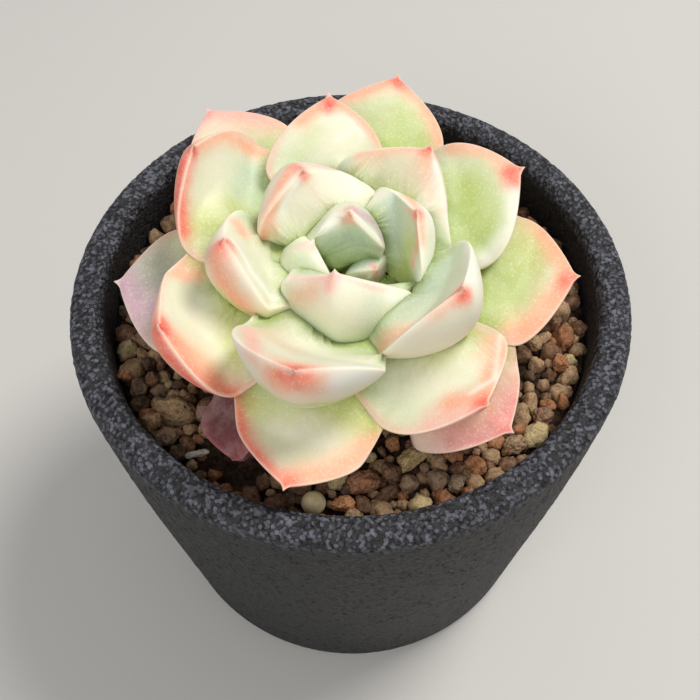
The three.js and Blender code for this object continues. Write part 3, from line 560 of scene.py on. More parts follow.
# coloured marks on a leaf: colour, width (mm), strength, points along the mark (mm); the marks noted as painted
# highlight and painted shade stand in for light and shade
MARKS = {
    "leaf_middle_1": [
        (CREAM, 3.6, 0.7, (-6.7, 0.4, 94.5), (-3.5, 2.7, 95)),
        (WHITE, 2.2, 0.8, (-0.6, 6, 93.5), (0.6, 5.2, 92.2)),
        (PEACH, 1.3, 0.75, (-8.6, 3.8, 98.1), (-11.5, -1.3, 95.2), (-13, -2.4, 90.4)),
        (PINK, 0.8, 0.4, (-8.4, 4.5, 98.1), (-2.4, 7.5, 94.5)),
        (WHITE, 0.55, 0.85, (-6.9, 3, 98), (-9.6, -0.3, 95.3), (-11.6, -2.4, 89.8)),
        (CORAL, 1.1, 0.7, (-6.6, 3.3, 98.1), (-6.6, 3.3, 98.1)),
    ],
    "leaf_middle_2": [
        (CREAM, 2.2, 0.6, (-13.8, -2.7, 91.6), (-11.4, -8.1, 90.1), (-8.7, -13.6, 89.3)),
        (PEACH, 2.6, 0.8, (-18.6, -9.9, 96), (-17.8, -12.1, 92), (-15, -13.8, 88.6)),
        (LIME, 1.5, 0.6, (-18.5, -11.5, 89.4), (-15.3, -12.9, 86.3), (-11.3, -15, 88.3)),
        (PEACH, 1.4, 0.6, (-16.4, -1, 92.4), (-15.5, -3, 92.4)),
        (WHITE, 0.7, 0.85, (-16.4, -6.9, 95.4), (-13.8, -10.8, 93.5), (-9.3, -13.9, 88.2)),
        (CORAL, 1.7, 0.85, (-17.3, -8.9, 97.8), (-17.3, -8.9, 97.8)),
        (RED, 0.5, 0.7, (-17.7, -8.7, 97.6), (-17.7, -8.7, 97.6)),
    ],
    "leaf_middle_3": [
        (CREAM, 3.6, 0.75, (-6.8, -21.4, 90.6), (1.3, -24.8, 91.4)),
        (PEACH, 2.6, 0.3, (-12, -19.8, 91.3), (-7.9, -24.6, 94.1)),
        (CREAM, 1.8, 0.8, (-13.5, -20, 92.1), (-6.2, -29.5, 98.8), (1.2, -28.8, 96.2)),
        (PINK, 1.5, 0.6, (-13.5, -20, 92.1), (-12.3, -27.6, 98.3)),
        (PEACH, 3.2, 0.85, (-9.4, -31.5, 98.4), (-6.8, -32.7, 99.8), (-3.8, -31.8, 97.8)),
        (CORAL, 1.9, 0.6, (-8.3, -31.8, 99.8), (-5.6, -32, 100.1)),
        (WHITE, 3, 0.75, (-1.3, -30.5, 97), (2.8, -27.8, 94.6)),
        (LIME, 1.5, 0.6, (-10.9, -30.1, 93.2), (-5.2, -31.8, 92.4), (-0.3, -28.8, 89.2)),
        (RED, 0.9, 0.75, (-6.8, -31.6, 100.8), (-6.8, -32.3, 101.5)),
    ],
    "leaf_middle_4": [
        # painted shade: the bluish inner face, as it looks in shade
        (BLUE, 2.4, 0.6, (13.5, -8.7, 91.7), (7.6, -15.3, 91.2), (3.4, -19.1, 88)),
        (WHITE, 1.2, 0.7, (16.6, -8.3, 95.2), (16.6, -15.9, 97.4)),
        (CREAM, 3.2, 0.8, (13.8, -21.7, 94.1), (6.7, -22.8, 90.6)),
        (PEACH, 1.4, 0.65, (14.3, -19.4, 99.4), (11.2, -20.5, 97.9), (6.5, -20.3, 91.8), (4.1, -20.8, 88.6)),
        (CORAL, 1.5, 0.85, (14.5, -19.4, 99.4), (14.5, -19.4, 99.4)),
        (RED, 0.4, 0.8, (14.5, -19.3, 99.7), (14.5, -19.3, 99.7)),
    ],
    "leaf_inner_2": [
        (CREAM, 3.8, 0.75, (-2.6, -17.5, 94.5), (-0.8, -19.1, 91)),
        (PEACH, 1.8, 0.45, (-5.1, -14.8, 94.4), (-8, -14, 90.8)),
        (BLUE, 2.2, 0.5, (-7.9, -14.7, 88.8), (-4.4, -18.1, 89.2)),
        (BLUE, 2.4, 0.4, (2.8, -17.3, 92.2), (0.6, -18.8, 87.6)),
        (PINK, 0.6, 0.5, (-8, -11.1, 92.4), (-2.9, -14.2, 96.3), (2.8, -14.4, 94.3), (7.4, -13.2, 91.3)),
        (WHITE, 1.5, 0.8, (5.9, -14.4, 92), (7.7, -13.4, 90.6)),
        (PINK, 1.1, 0.6, (-2.9, -14.9, 96.3), (-2.9, -15.7, 96.1)),
    ],
    "leaf_low_2": [
        (PEACH, 4, 0.3, (27.5, -0.3, 84.3), (26.5, 2.2, 85.2)),
        (GREEN, 5, 0.7, (24.4, -4.2, 84.4), (28, 0.8, 84.4)),
        (PEACH, 2.2, 0.8, (30.5, 3.6, 84.4), (32.6, -2.9, 85), (33.7, -6.4, 84.6)),
        (PEACH, 2.6, 0.85, (31.4, -8.6, 84.2), (28.2, -12.3, 82.8), (24.3, -14.1, 81.7)),
        (CORAL, 1.6, 0.7, (32.4, -6.5, 84.8), (33.7, -6.4, 84.6)),
    ],
    "leaf_inner_1": [
        (PALE, 2.5, 0.7, (-8.2, -7.3, 90.8), (-7.1, -7.9, 90.6)),
        (WHITE, 1.1, 0.85, (-5.3, -4.9, 92.8), (-3.9, -7.3, 90.7), (-3.3, -8.4, 89.7)),
        (PINK, 0.7, 0.5, (-5.3, -5.6, 92.3), (-5.3, -5.6, 92.3)),
    ],
    "leaf_inner_3": [
        (BLUE, 3.4, 0.8, (-2.7, -3.8, 91.4), (1.6, -3.2, 90.6)),
        (LILAC, 1.1, 0.7, (0.5, -1.4, 95.1), (3.7, -0.7, 91.7), (5.2, -3.2, 89.2)),
        (WHITE, 1.2, 0.5, (-2.7, -2.5, 93.9), (-4.4, -3.4, 93.2)),
        (PEACH, 1.2, 0.7, (-0.1, -2.2, 95.6), (-0.1, -2.2, 94.8)),
        (CORAL, 0.6, 0.7, (0.2, -2, 95.5), (0.2, -2, 95.5)),
        (WHITE, 0.3, 0.8, (-3.8, -3, 93.6), (0.2, -1.6, 95.4), (4.3, -3.2, 91)),
    ],
    "leaf_inner_4": [
        (BLUE, 2.4, 0.75, (6.5, 2.1, 92.4), (6.5, -2.9, 87)),
        (LIME, 1.9, 0.55, (8.8, -4.7, 92.3), (7.9, -5.8, 85.8)),
        (PEACH, 0.9, 0.8, (8.8, 3, 93.2), (9.8, -3.6, 95.8), (10, -6.5, 94.5), (9.1, -7.2, 90)),
        # painted highlight: the pale band down the leaf's right side, where the light falls
        (WHITE, 1.9, 0.85, (11.7, -1.8, 94.1), (12.3, -4.7, 91.4), (10.4, -9.8, 90.9)),
        (CORAL, 1, 0.8, (9.5, -3, 96.4), (9.5, -3, 96.4)),
        (WHITE, 1.5, 0.6, (5.3, 4.6, 92.3), (6.8, 4.5, 92.9)),
    ],
    "leaf_heart_2": [
        (WHITE, 0.35, 0.8, (3.4, -6, 87.1), (2.8, -6.3, 86)),
        (PINK, 0.8, 0.8, (3.7, -6.1, 87.2), (3.7, -6.1, 87.2)),
    ],
    "leaf_middle_5": [
        (TAN, 5, 0.35, (6.3, 7.5, 94), (7.7, 7, 94.4)),
        (PEACH, 1.1, 0.6, (1.6, 11.5, 93.3), (10.7, 9.5, 96.5)),
        (PEACH, 1.9, 0.6, (11.8, 7.5, 96.3), (13.4, 1.7, 93.6)),
        (WHITE, 0.8, 0.7, (13, 6.7, 95.9), (13.7, 1.2, 93.3)),
        (CORAL, 1.1, 0.85, (11.9, 9.4, 96.6), (11.9, 9, 96.6)),
    ],
    "leaf_outer_1": [
        (CREAM, 6, 0.85, (-3.7, 17, 92.3), (-0.6, 15.5, 90.3)),
        (GREEN, 2, 0.3, (-7.8, 13.9, 91.1), (-5.2, 17.3, 92.8)),
        (WHITE, 0.4, 0.8, (-0.5, 20.5, 93.2), (2.3, 18.3, 91)),
        (WHITE, 0.35, 0.6, (-2.1, 16.4, 91.5), (0.7, 18.6, 91.9)),
        (PEACH, 1.4, 0.7, (-7.4, 18.8, 93.5), (-3.3, 22.5, 94.3), (1.4, 21.1, 92.5), (4.5, 18.9, 89.9)),
        (CORAL, 1.4, 0.8, (-3.3, 21.3, 94.1), (-3, 22.1, 94.2)),
        (RED, 0.5, 0.8, (-3, 21.7, 94.2), (-3, 21.7, 94.2)),
    ],
    "leaf_low_1": [
        (GREEN, 4, 0.5, (9.5, 26.8, 87.2), (12, 22.4, 85.5)),
        (PEACH, 1.6, 0.7, (0.5, 30.8, 87.6), (8, 33.7, 88.4), (12.9, 29.3, 87.1), (15.4, 22.8, 85)),
        (CORAL, 1.5, 0.85, (8.7, 34.5, 88.2), (8.7, 33.3, 88.4)),
    ],
    "leaf_outer_2": [
        (CREAM, 4.5, 0.9, (-20.7, 10.2, 92.9), (-20.7, 6.1, 90.7)),
        # painted shade: the greenish blue right side, where the leaf above shades it
        (BLUE, 2.6, 0.6, (-16.9, 8, 87.2), (-15.5, 13.2, 87.5)),
        (LIME, 3.2, 0.6, (-21.6, 0.8, 89.9), (-17.6, 5.3, 87.9)),
        (PEACH, 1.6, 0.7, (-22.7, 9.8, 97.5), (-19.2, 16.6, 93.3), (-15.1, 17.7, 88.3)),
        (CORAL, 1.7, 0.8, (-24.5, 7.7, 96.4), (-25.4, 3.2, 93.9), (-24.6, -0.9, 91.1)),
        (RED, 0.9, 0.8, (-22.9, 8.8, 97.6), (-23, 8.7, 97.3)),
    ],
    "leaf_low_6": [
        (PINK, 3.5, 0.6, (-24.1, 30.1, 85.1), (-15, 29.6, 84)),
    ],
    "leaf_outer_3": [
        (GREEN, 5.5, 0.8, (17.8, 7.3, 89.7), (19.7, 0.1, 88.7)),
        (PEACH, 1.5, 0.6, (16.2, 16.1, 89.9), (22, 12.9, 92.1), (25, 6.8, 92.3)),
        (WHITE, 1.5, 0.6, (24.9, 5.2, 91.9), (24.3, -0.1, 90.3), (20, -4.8, 87.2)),
        (CORAL, 1.7, 0.85, (24.5, 8.2, 92.5), (25, 7.2, 92.3)),
    ],
    "leaf_outer_4": [
        (CREAM, 4, 0.7, (9, -21.5, 85.4), (13.9, -21.1, 87.4)),
        (LIME, 2.2, 0.6, (12, -20.5, 86.9), (17.7, -16.3, 86.1)),
        (CREAM, 3, 0.5, (7, -23.6, 83.5), (12.4, -24.2, 85.6)),
        (PEACH, 1.9, 0.85, (20.8, -17.6, 85.4), (18.7, -27.8, 88.3), (13.5, -28, 86)),
        (WHITE, 0.5, 0.6, (21.6, -16.2, 84.9), (19.5, -25.4, 87.8), (16.2, -27.1, 87.1)),
        (PINK, 2, 0.5, (10.7, -30.3, 85.1), (16.5, -30.4, 86.8)),
        (CORAL, 1.3, 0.9, (17.5, -29.4, 88.3), (17.2, -29.7, 88.2)),
        (SPECK, 0.38, 0.9, (9, -21.5, 85.4), (9, -21.5, 85.4)),
    ],
    "leaf_low_3": [
        (DUSKY, 6, 0.75, (13.9, -30.3, 79.3), (23.1, -26.4, 80.8)),
    ],
    "leaf_low_4": [
        (CREAM, 5.5, 0.85, (-8.4, -29.2, 82.5), (-3.8, -30.1, 81.2)),
        # painted shadow: the green bands across the upper and right part, in the shadow of the leaves above
        (LIME, 2.4, 0.8, (-2.9, -26.4, 82.9), (2.7, -27.3, 81.1)),
        (LIME, 1.6, 0.5, (-14.1, -26.6, 81.9), (-8.4, -27.3, 83.6)),
        (CORAL, 1.6, 0.75, (-16.4, -25.2, 82.3), (-15, -31.4, 81.9), (-10.4, -37.3, 82.2)),
        (PEACH, 2.4, 0.85, (-7.7, -37.7, 82.5), (-2.4, -35.8, 80.8), (2.6, -31.5, 80.6)),
        (CORAL, 1.8, 0.7, (-9, -38.4, 82.7), (-8.2, -38.4, 82.6)),
    ],
    "leaf_outer_5": [
        (CREAM, 4, 0.9, (-23, -12.8, 86.9), (-17.9, -19.9, 84.5)),
        (PEACH, 2.6, 0.7, (-23.4, -20.3, 89.4), (-19, -23.5, 85.5)),
        # painted shade: the green right side, shaded by the inner leaves
        (LIME, 2.2, 0.7, (-17.6, -12.9, 86.5), (-15.9, -19.5, 84.8)),
        (CORAL, 1.6, 0.85, (-26, -17.7, 91.5), (-25.2, -21.9, 89.3), (-21.5, -24.7, 86.5), (-16.4, -24.9, 82.9)),
        (PEACH, 1.6, 0.8, (-25.3, -6, 87.1), (-23.1, -5.5, 86)),
        (RED, 0.8, 0.85, (-25.8, -19.3, 91.8), (-25.8, -19.3, 91.8)),
    ],
    "leaf_low_5": [
        (LILAC, 8, 0.85, (-34.9, -4.2, 80.4), (-30.8, -5.6, 79.7)),
        (GREY, 3, 0.6, (-31.2, 0.3, 81.2), (-29.5, -2.3, 80.4)),
    ],}


def mark_weight(p, width, pts):
    """1 on the mark's line, falling off over its width."""
    best = np.full(len(p), 1e9)
    pts = np.array(pts, float)
    for a, b in zip(pts[:-1], pts[1:]):
        ab = b - a
        t = clip01(((p - a) @ ab) / max(ab @ ab, 1e-9))
        best = np.minimum(best, ((p - a - t[:, None] * ab) ** 2).sum(1))
    if len(pts) == 1:
        best = ((p - pts[0]) ** 2).sum(1)
    return np.exp(-best / width ** 2)


def look_of(name):
    return LOOK[name.split("_")[1]]


def three(cols, t):
    a, b, c = (lin(x) for x in cols)
    t = clip01((t - 0.3) / 0.65)[..., None]
    return mix(mix(a, b, clip01(t * 2)), c, clip01(t * 2 - 1))


def leaf_material(name, powder=1.0):
    """powder: how much pale bloom lies on the skin."""
    m = Nodes(name)
    col = m.attr("tint")
    speck = m.ramp(m.noise(2600, 2, 0.6), 0.52, 0.70)
    col = m.mix(m.math("MULTIPLY", speck, 0.24 * powder), col, lin((0.97, 0.97, 0.90)))
    cloud = m.noise(420, 3, 0.6)
    col = m.mix(m.ramp(cloud, 0.35, 0.7, 0.0, 0.12), col, lin((0.97, 0.96, 0.88)))
    h = m.noise(3200, 2, 0.6)
    nrm = m.bump(h, 0.12, 0.0002)
    return m.set(Base_Color=col, Roughness=0.55, Subsurface_Weight=0.18, Subsurface_Scale=0.0012,
                 Subsurface_Radius=(1.0, 0.75, 0.35), Specular_IOR_Level=0.38, Normal=nrm)


leaf_mat = leaf_material("leaf_flesh")
old_leaf_mat = leaf_material("leaf_old", 0.15)
for name, d in leaf_data.items():
    P, U, V, side, ws = d["P"], d["U"], d["V"], d["side"], d["ws"]
    up3, low3, margin, mw, tip, ts = look_of(name)
    u01 = clip01(U)
    col = np.where((side > 0)[..., None], three(up3, u01), three(low3, u01))
    flat = d["grid"].reshape(-1, 3)
    wander = noise(flat * 0.45, 61) * 0.5 + noise(flat * 1.1, 62) * 0.3
    # painted shade: the leaf colour turns deep green where it lies close to the leaves it leans on, standing in for the
    # shade in the creases
    near = np.exp(-(d["crease"] / (1.3 if "middle" in name or "inner" in name else 2.4)) ** 1.3) * 0.8
    dry = name in ("leaf_maroon", "leaf_withered")
    if not dry:
        col = mix(col, lin(CREASE_SHADE), near[..., None])
    edge = (1 - np.abs(V)) * ws[:, None]
    m = np.exp(-(edge / mw) ** 1.5) * smooth(u01, 0.15, 0.6)
    col = mix(col, lin(margin), (0.6 * m)[..., None])
    td = np.sqrt(((1 - U) * P[4]) ** 2 + (V * ws[:, None]) ** 2)
    col = mix(col, lin(tip), (0.85 * np.exp(-(td / ts) ** 2))[..., None])
    col = col.reshape(-1, 3)
    for shade, width, strength, *pts in MARKS.get(name, ()):
        k = mark_weight(flat, width * (1 + 0.35 * wander), pts) * min(strength * 1.2, 0.97)
        # the marks fade where the painted crease shade lies
        col = mix(col, lin(shade), (k * (1 - 0.6 * near.reshape(-1)))[:, None])
    # thin pale line right on the margin
    line = np.exp(-(edge / 0.28) ** 2) * smooth(u01, 0.3, 0.6) * (0.0 if dry else 0.45)
    col = mix(col, lin((0.98, 0.93, 0.84)), line.reshape(-1)[:, None])
    col = mix(col, lin((0.97, 0.96, 0.90)), ((0.0 if dry else 0.05) * clip01(0.5 + wander))[:, None])
    col = np.concatenate([col, col[:COLS].mean(0)[None], col[-COLS:].mean(0)[None]])
    ob = make_mesh(name.replace("leaf_", "blade_"), d["verts"], [q, lo_f, hi_f], {"tint": col})
    put(ob, old_leaf_mat if dry else leaf_mat, (name,))

# ------------------------------------------------------------------ pot
POT_SEGS = 660


def pot_profile():
    """(radius, height, roughness amount) all round the pot's section: outside, rim, inside, floor, hole, underside."""
    pts = []
    for r in (6, 9, 14, 20, 26, 31, 34, 35.6):
        pts.append((r, 0.0, 0.0))
    for a in np.linspace(0, 1, 5)[1:]:
        pts.append((35.6 + 3.0 * math.sin(a * math.pi / 2), 3.0 - 3.0 * math.cos(a * math.pi / 2), 0.25 * a))
    for t in np.linspace(0, 1, 84)[1:]:
        z = 3 + 71.5 * (0.75 * t + 0.25 * t ** 1.0)
        s = (z - 3) / 71.5
        pts.append((38.6 + 6.4 * s + 0.45 * math.sin(math.pi * s ** 1.6), z, 1.0))
    corner = [(45, 74.5), (44.93, 75.1), (44.75, 75.6), (44.45, 76.05), (44.0, 76.4), (43.3, 76.65), (42.9, 76.7), (42.5, 76.7), (42.1, 76.7),
              (41.7, 76.7), (41.24, 76.7), (40.8, 76.6), (40.4, 76.35), (40.14, 76.1), (39.9, 75.6), (39.74, 74.9)]
    for r, z in corner[1:]:
        pts.append((r, z, 1.0))
    for z in np.concatenate([np.linspace(74.4, 66, 16), np.linspace(62, 10, 8)]):
        pts.append((39.74 - 0.085 * (74.9 - z), z, 0.8 if z > 64 else 0.0))
    pts += [(33.2, 6.2, 0), (31.5, 5.5, 0), (22, 5.5, 0), (14, 5.5, 0), (9, 5.5, 0), (5.2, 5.5, 0), (4.3, 5.3, 0), (4.0, 4.9, 0), (4.0, 2.5, 0),
            (4.0, 0.6, 0), (4.4, 0.12, 0)]
    return np.array(pts)


prof = pot_profile()
ang = np.linspace(0, 2 * np.pi, POT_SEGS, endpoint=False)
R = prof[:, 0][:, None]
Z = np.repeat(prof[:, 1][:, None], POT_SEGS, 1)
X, Y = R * np.cos(ang)[None, :], R * np.sin(ang)[None, :]
pot_xyz = np.stack([X, Y, Z], -1)
d = np.roll(prof[:, :2], -1, 0) - np.roll(prof[:, :2], 1, 0)
nr, nz = d[:, 1], -d[:, 0]
ln = np.maximum(np.hypot(nr, nz), 1e-9)
nr, nz = nr / ln, nz / ln
normal = np.stack([nr[:, None] * np.cos(ang), nr[:, None] * np.sin(ang), np.repeat(nz[:, None], POT_SEGS, 1)], -1)
flat = pot_xyz.reshape(-1, 3)
amt = np.repeat(prof[:, 2][:, None], POT_SEGS, 1).reshape(-1)
f1, f2 = cells(flat / 0.85 + 0.3 * np.stack([noise(flat * 0.9, 3), noise(flat * 0.9, 4), noise(flat * 0.9, 5)], -1), 21)
n1 = fbm(flat / 1.7, 3, 31)
disp = 0.10 * n1 - 0.32 * smooth(f1, 0.46, 0.12) * smooth(n1, -0.4, 0.2) + 0.13 * fbm(flat / 0.75, 2, 41)
pot_xyz = (flat + normal.reshape(-1, 3) * (disp * amt)[:, None] * 1.0)
# painted shade: the sunk pits are painted near black
pit_shade = smooth(disp, 0.02, -0.22) * amt
# painted highlight: the tops of the bumps, mostly on the rim top where the light falls, are painted light grey
pot_ob = make_mesh("pot_body", pot_xyz, ring_faces(len(prof), POT_SEGS, close_rows=True)[:, ::-1], {"pit_shade": pit_shade, "crest_highlight": smooth(disp, -0.12, 0.10) * amt * (0.08 + 0.92 * smooth(flat[:, 2], 73.8, 75.6))})
pm = Nodes("pot_rough_black")
g1 = pm.noise(1100, 4, 0.7)
g2 = pm.noise(3000, 3, 0.7)
lumps = pm.voronoi(1450, pm.stretch(1, 1, 1.25))
gap = pm.ramp(lumps, 0.46, 0.70)
base = pm.mix(pm.ramp(g1, 0.38, 0.64), lin((0.038, 0.040, 0.044)), lin((0.090, 0.094, 0.102)))
# painted highlight on the bump tops near the rim top
base = pm.mix(pm.math("MULTIPLY", pm.attr("crest_highlight", "Fac"), 0.70), base, lin((0.50, 0.51, 0.56)))
base = pm.mix(pm.ramp(g2, 0.56, 0.74, 0, 0.3), base, lin((0.50, 0.51, 0.54)))
# painted shade: the gaps between lumps, which the bump sinks, and the pits are painted near black
base = pm.mix(pm.math("MULTIPLY", gap, 0.85), base, lin((0.045, 0.045, 0.05)))
base = pm.mix(pm.math("MULTIPLY", pm.attr("pit_shade", "Fac"), 0.9), base, lin((0.02, 0.02, 0.024)))
pn = pm.bump(pm.math("SUBTRACT", 1.0, gap), 0.9, 0.0004)
pn = pm.bump(g1, 0.8, 0.0005, pn)
pn = pm.bump(g2, 0.5, 0.0003, pn)
put(pot_ob, pm.set(Base_Color=base, Roughness=0.58, Specular_IOR_Level=0.5, Normal=pn), ("pot",))

# ------------------------------------------------------------------ floor and light
fl = bpy.data.meshes.new("floor")
fl.from_pydata([(-3, -3, -0.00005), (3, -3, -0.00005), (3, 3, -0.00005), (-3, 3, -0.00005)], [], [(0, 1, 2, 3)])
floor = bpy.data.objects.new("floor", fl)
bpy.context.scene.collection.objects.link(floor)
fm = Nodes("floor_pale")
floor.data.materials.append(fm.set(Base_Color=(*lin((0.80, 0.79, 0.77)), 1), Roughness=0.8))

world = bpy.data.worlds.new("studio")
bpy.context.scene.world = world
world.use_nodes = True
world.node_tree.nodes["Background"].inputs[0].default_value = (0.95, 0.97, 1.0, 1)
world.node_tree.nodes["Background"].inputs[1].default_value = 0.41


def area(name, at, aim, size, power, colour=(1, 1, 1)):
    l = bpy.data.lights.new(name, "AREA")
    l.shape = "DISK"
    l.size = size
    l.energy = power
    l.color = colour
    o = bpy.data.objects.new(name, l)
    bpy.context.scene.collection.objects.link(o)
    o.location = at
    o.rotation_euler = (Vector(aim) - Vector(at)).to_track_quat("-Z", "Y").to_euler()
    return o


area("key", (0.33, 0.16, 0.72), (0, 0, 0.08), 0.28, 4.15, (1.0, 0.97, 0.94))
area("fill", (-0.28, -0.55, 0.62), (0, 0, 0.08), 0.6, 2.4, (1.0, 0.98, 0.96))
scene = bpy.context.scene
scene.view_settings.view_transform = "Standard"
scene.view_settings.look = "None"

# ------------------------------------------------------------------ soil
def inner_radius(z):
    return 39.74 - 0.085 * (74.9 - z)


def bed_height(x, y):
    b = 0
    for k, a in ((0.21, 1.0), (0.47, 0.6)):
        b = b + a * np.sin(x * k + 1.3 * y * k + 0.7) * np.cos(1.1 * y * k - 0.6 * x * k + 2.1)
    r = np.hypot(x, y)
    return 69.0 + 0.44 * b - 0.4 * clip01((r - 34) / 5) ** 2


def ball(level):
    """Points and triangles of a ball made by splitting an icosahedron."""
    g = (1 + 5 ** 0.5) / 2
    v = np.array([(-1, g, 0), (1, g, 0), (-1, -g, 0), (1, -g, 0), (0, -1, g), (0, 1, g), (0, -1, -g), (0, 1, -g),
                  (g, 0, -1), (g, 0, 1), (-g, 0, -1), (-g, 0, 1)], float)
    v /= np.linalg.norm(v, axis=1)[:, None]
    f = [(0, 11, 5), (0, 5, 1), (0, 1, 7), (0, 7, 10), (0, 10, 11), (1, 5, 9), (5, 11, 4), (11, 10, 2), (10, 7, 6), (7, 1, 8),
         (3, 9, 4), (3, 4, 2), (3, 2, 6), (3, 6, 8), (3, 8, 9), (4, 9, 5), (2, 4, 11), (6, 2, 10), (8, 6, 7), (9, 8, 1)]
    for _ in range(level):
        pts, cut, out = [p for p in v], {}, []

        def mid(a, b):
            key = (min(a, b), max(a, b))
            if key not in cut:
                m = pts[a] + pts[b]
                pts.append(m / np.linalg.norm(m))
                cut[key] = len(pts) - 1
            return cut[key]
        for a, b, c in f:
            ab, bc, ca = mid(a, b), mid(b, c), mid(c, a)
            out += [(a, ab, ca), (b, bc, ab), (c, ca, bc), (ab, bc, ca)]
        v, f = np.array(pts), out
    return v, np.array(f)


BALLS = {k: ball(k) for k in (2, 3, 4)}


def turn(rng):
    qn = rng.normal(size=4)
    w, x, y, z = qn / np.linalg.norm(qn)
    return np.array([[1 - 2 * (y * y + z * z), 2 * (x * y - z * w), 2 * (x * z + y * w)],
                     [2 * (x * y + z * w), 1 - 2 * (x * x + z * z), 2 * (y * z - x * w)],
                     [2 * (x * z - y * w), 2 * (y * z + x * w), 1 - 2 * (x * x + y * y)]])


def lump(rng, half, level, rough=1.6, facets=9):
    """An irregular grain: a ball cut by soft facets, stretched and roughened; points, and how sunk each point is (0..1)."""
    dirs, tris = BALLS[level]
    r = np.ones(len(dirs))
    for _ in range(facets):
        n = rng.normal(size=3)
        n /= np.linalg.norm(n)
        d = rng.uniform(0.60, 0.93)
        c = dirs @ n
        lim = np.where(c > 0.05, d / np.maximum(c, 0.05), 9)
        h = np.maximum(0.10 - np.abs(r - lim), 0) / 0.10
        r = np.minimum(r, lim) - h * h * 0.10 * 0.25
    off = rng.uniform(-50, 50, 3)
    big = noise(dirs * 1.3 + off, 1)
    mid_ = fbm(dirs * 3.2 + off, 2, 5)
    f1, _ = cells(dirs * 3.4 + off, 9)
    pore = smooth(f1, 0.34, 0.12)
    r = r * (1 + rough * (0.10 * big + 0.12 * mid_ - 0.10 * pore))
    p = dirs * r[:, None] * np.asarray(half)[None, :]
    return p, tris, clip01(0.9 * pore + 0.7 * smooth(mid_, 0.0, -0.5))


BROWN = (0.46, 0.33, 0.25)
TAN = (0.66, 0.54, 0.41)
RUST = (0.64, 0.43, 0.29)
GREY = (0.60, 0.50, 0.41)
DARK = (0.33, 0.25, 0.20)
STRAW = (0.76, 0.68, 0.50)
SHADES = (BROWN, TAN, RUST, GREY, DARK, STRAW)
CHANCE = (0.29, 0.28, 0.17, 0.07, 0.10, 0.09)

# named grains: x, y, half sizes, turn (deg), colour
NAMED = {
    "grain_large_brown": (1.7, -31.9, 2.5, 1.9, 1.5, 25, (0.72, 0.50, 0.38)),
    "grain_long_tan": (9.0, -28.3, 3.2, 1.5, 1.3, 38, (0.82, 0.71, 0.50)),
    "grain_orange": (-1.4, -35.5, 1.6, 1.3, 1.2, 10, (0.76, 0.53, 0.35)),
    "grain_grey": (15.4, -32.5, 1.6, 1.3, 1.2, 0, (0.64, 0.55, 0.45)),
    "grain_tan_right": (24.8, -25.7, 1.8, 1.5, 1.3, 30, (0.68, 0.57, 0.45)),
    "grain_brown_right": (29.6, -21.1, 1.9, 1.5, 1.3, 60, (0.58, 0.44, 0.35)),
    "grain_tan_left": (-33.8, -14.6, 1.9, 1.5, 1.3, 80, (0.55, 0.45, 0.36)),
    "grain_beige_left": (-28.3, -24.0, 1.8, 1.4, 1.3, 15, (0.66, 0.55, 0.45)),
}
PELLET = (-5.7, -35.5, 1.8)
ROOT_BIT = ((-25.1, -27.6), (-21.6, -26.8), 0.5)

# the leaves as one body to keep grains out of
lv, lf, base = [], [], 0
for name, d in leaf_data.items():
    for f in (q, lo_f, hi_f):
        lf.extend(map(tuple, (f + base).tolist()))
    lv.append(d["verts"])
    base += len(d["verts"])
all_leaves = BVHTree.FromPolygons(np.concatenate(lv).tolist(), lf)

# grains settle: balls under gravity, kept apart, kept in the pot, kept out of the leaves
rng = np.random.default_rng(11)
fixed = [(x, y, float(bed_height(x, y)) + 0.55 * hz, 0.5 * (hx + hy) * 0.93) for x, y, hx, hy, hz, _, _ in NAMED.values()]
fixed.append((PELLET[0], PELLET[1], float(bed_height(PELLET[0], PELLET[1])) + 1.35, PELLET[2]))
for t in (0.1, 0.5, 0.9):
    fixed.append((mix(ROOT_BIT[0][0], ROOT_BIT[1][0], t), mix(ROOT_BIT[0][1], ROOT_BIT[1][1], t), 69.9, 0.75))
fixed = np.array(fixed)
COUNT = 720
rad_g = rng.choice([1.15, 1.45, 1.75, 2.05, 2.4], COUNT, p=[0.20, 0.27, 0.27, 0.18, 0.08]) * rng.uniform(0.92, 1.08, COUNT)
rr = np.sqrt(rng.uniform(12.5 ** 2, 37.6 ** 2, COUNT))
aa = rng.uniform(0, 2 * np.pi, COUNT)
pos = np.stack([rr * np.cos(aa), rr * np.sin(aa), rng.uniform(69.0, 72.5, COUNT)], -1)
STEPS = 110
for step in range(STEPS):
    pos[:, 2] -= 0.12 * (1 - 0.6 * step / STEPS)
    for _ in range(2):
        d = pos[:, None, :] - pos[None, :, :]
        dist = np.sqrt((d * d).sum(-1)) + np.eye(COUNT) * 99
        over = np.maximum(0, 0.93 * (rad_g[:, None] + rad_g[None, :]) - dist)
        pos += (d / dist[..., None] * (over * 0.26)[..., None]).sum(1)
        d = pos[:, None, :] - fixed[None, :, :3]
        dist = np.sqrt((d * d).sum(-1)) + 1e-6
        over = np.maximum(0, rad_g[:, None] + fixed[None, :, 3] - dist)
        pos += (d / dist[..., None] * (over * 0.7)[..., None]).sum(1)
        r = np.hypot(pos[:, 0], pos[:, 1])
        out = np.maximum(0, r + rad_g * 0.97 - inner_radius(pos[:, 2]))
        pos[:, :2] *= (1 - out / np.maximum(r, 1e-6))[:, None]
        floor_z = bed_height(pos[:, 0], pos[:, 1]) - 1.1
        pos[:, 2] = np.maximum(pos[:, 2], floor_z + rad_g * 0.55)
    if step % 5 == 4 or step > STEPS - 4:
        for i in range(COUNT):
            p = Vector(pos[i])
            hit, nrm, _, dd = all_leaves.find_nearest(p, 4.0)
            if hit is None:
                continue
            s = (p - hit).dot(nrm)
            need = rad_g[i] + 0.15
            if s < 0:
                pos[i] = np.array(hit + nrm * need)
            elif dd < need:
                pos[i] = np.array(hit + (p - hit).normalized() * need)
keep = []
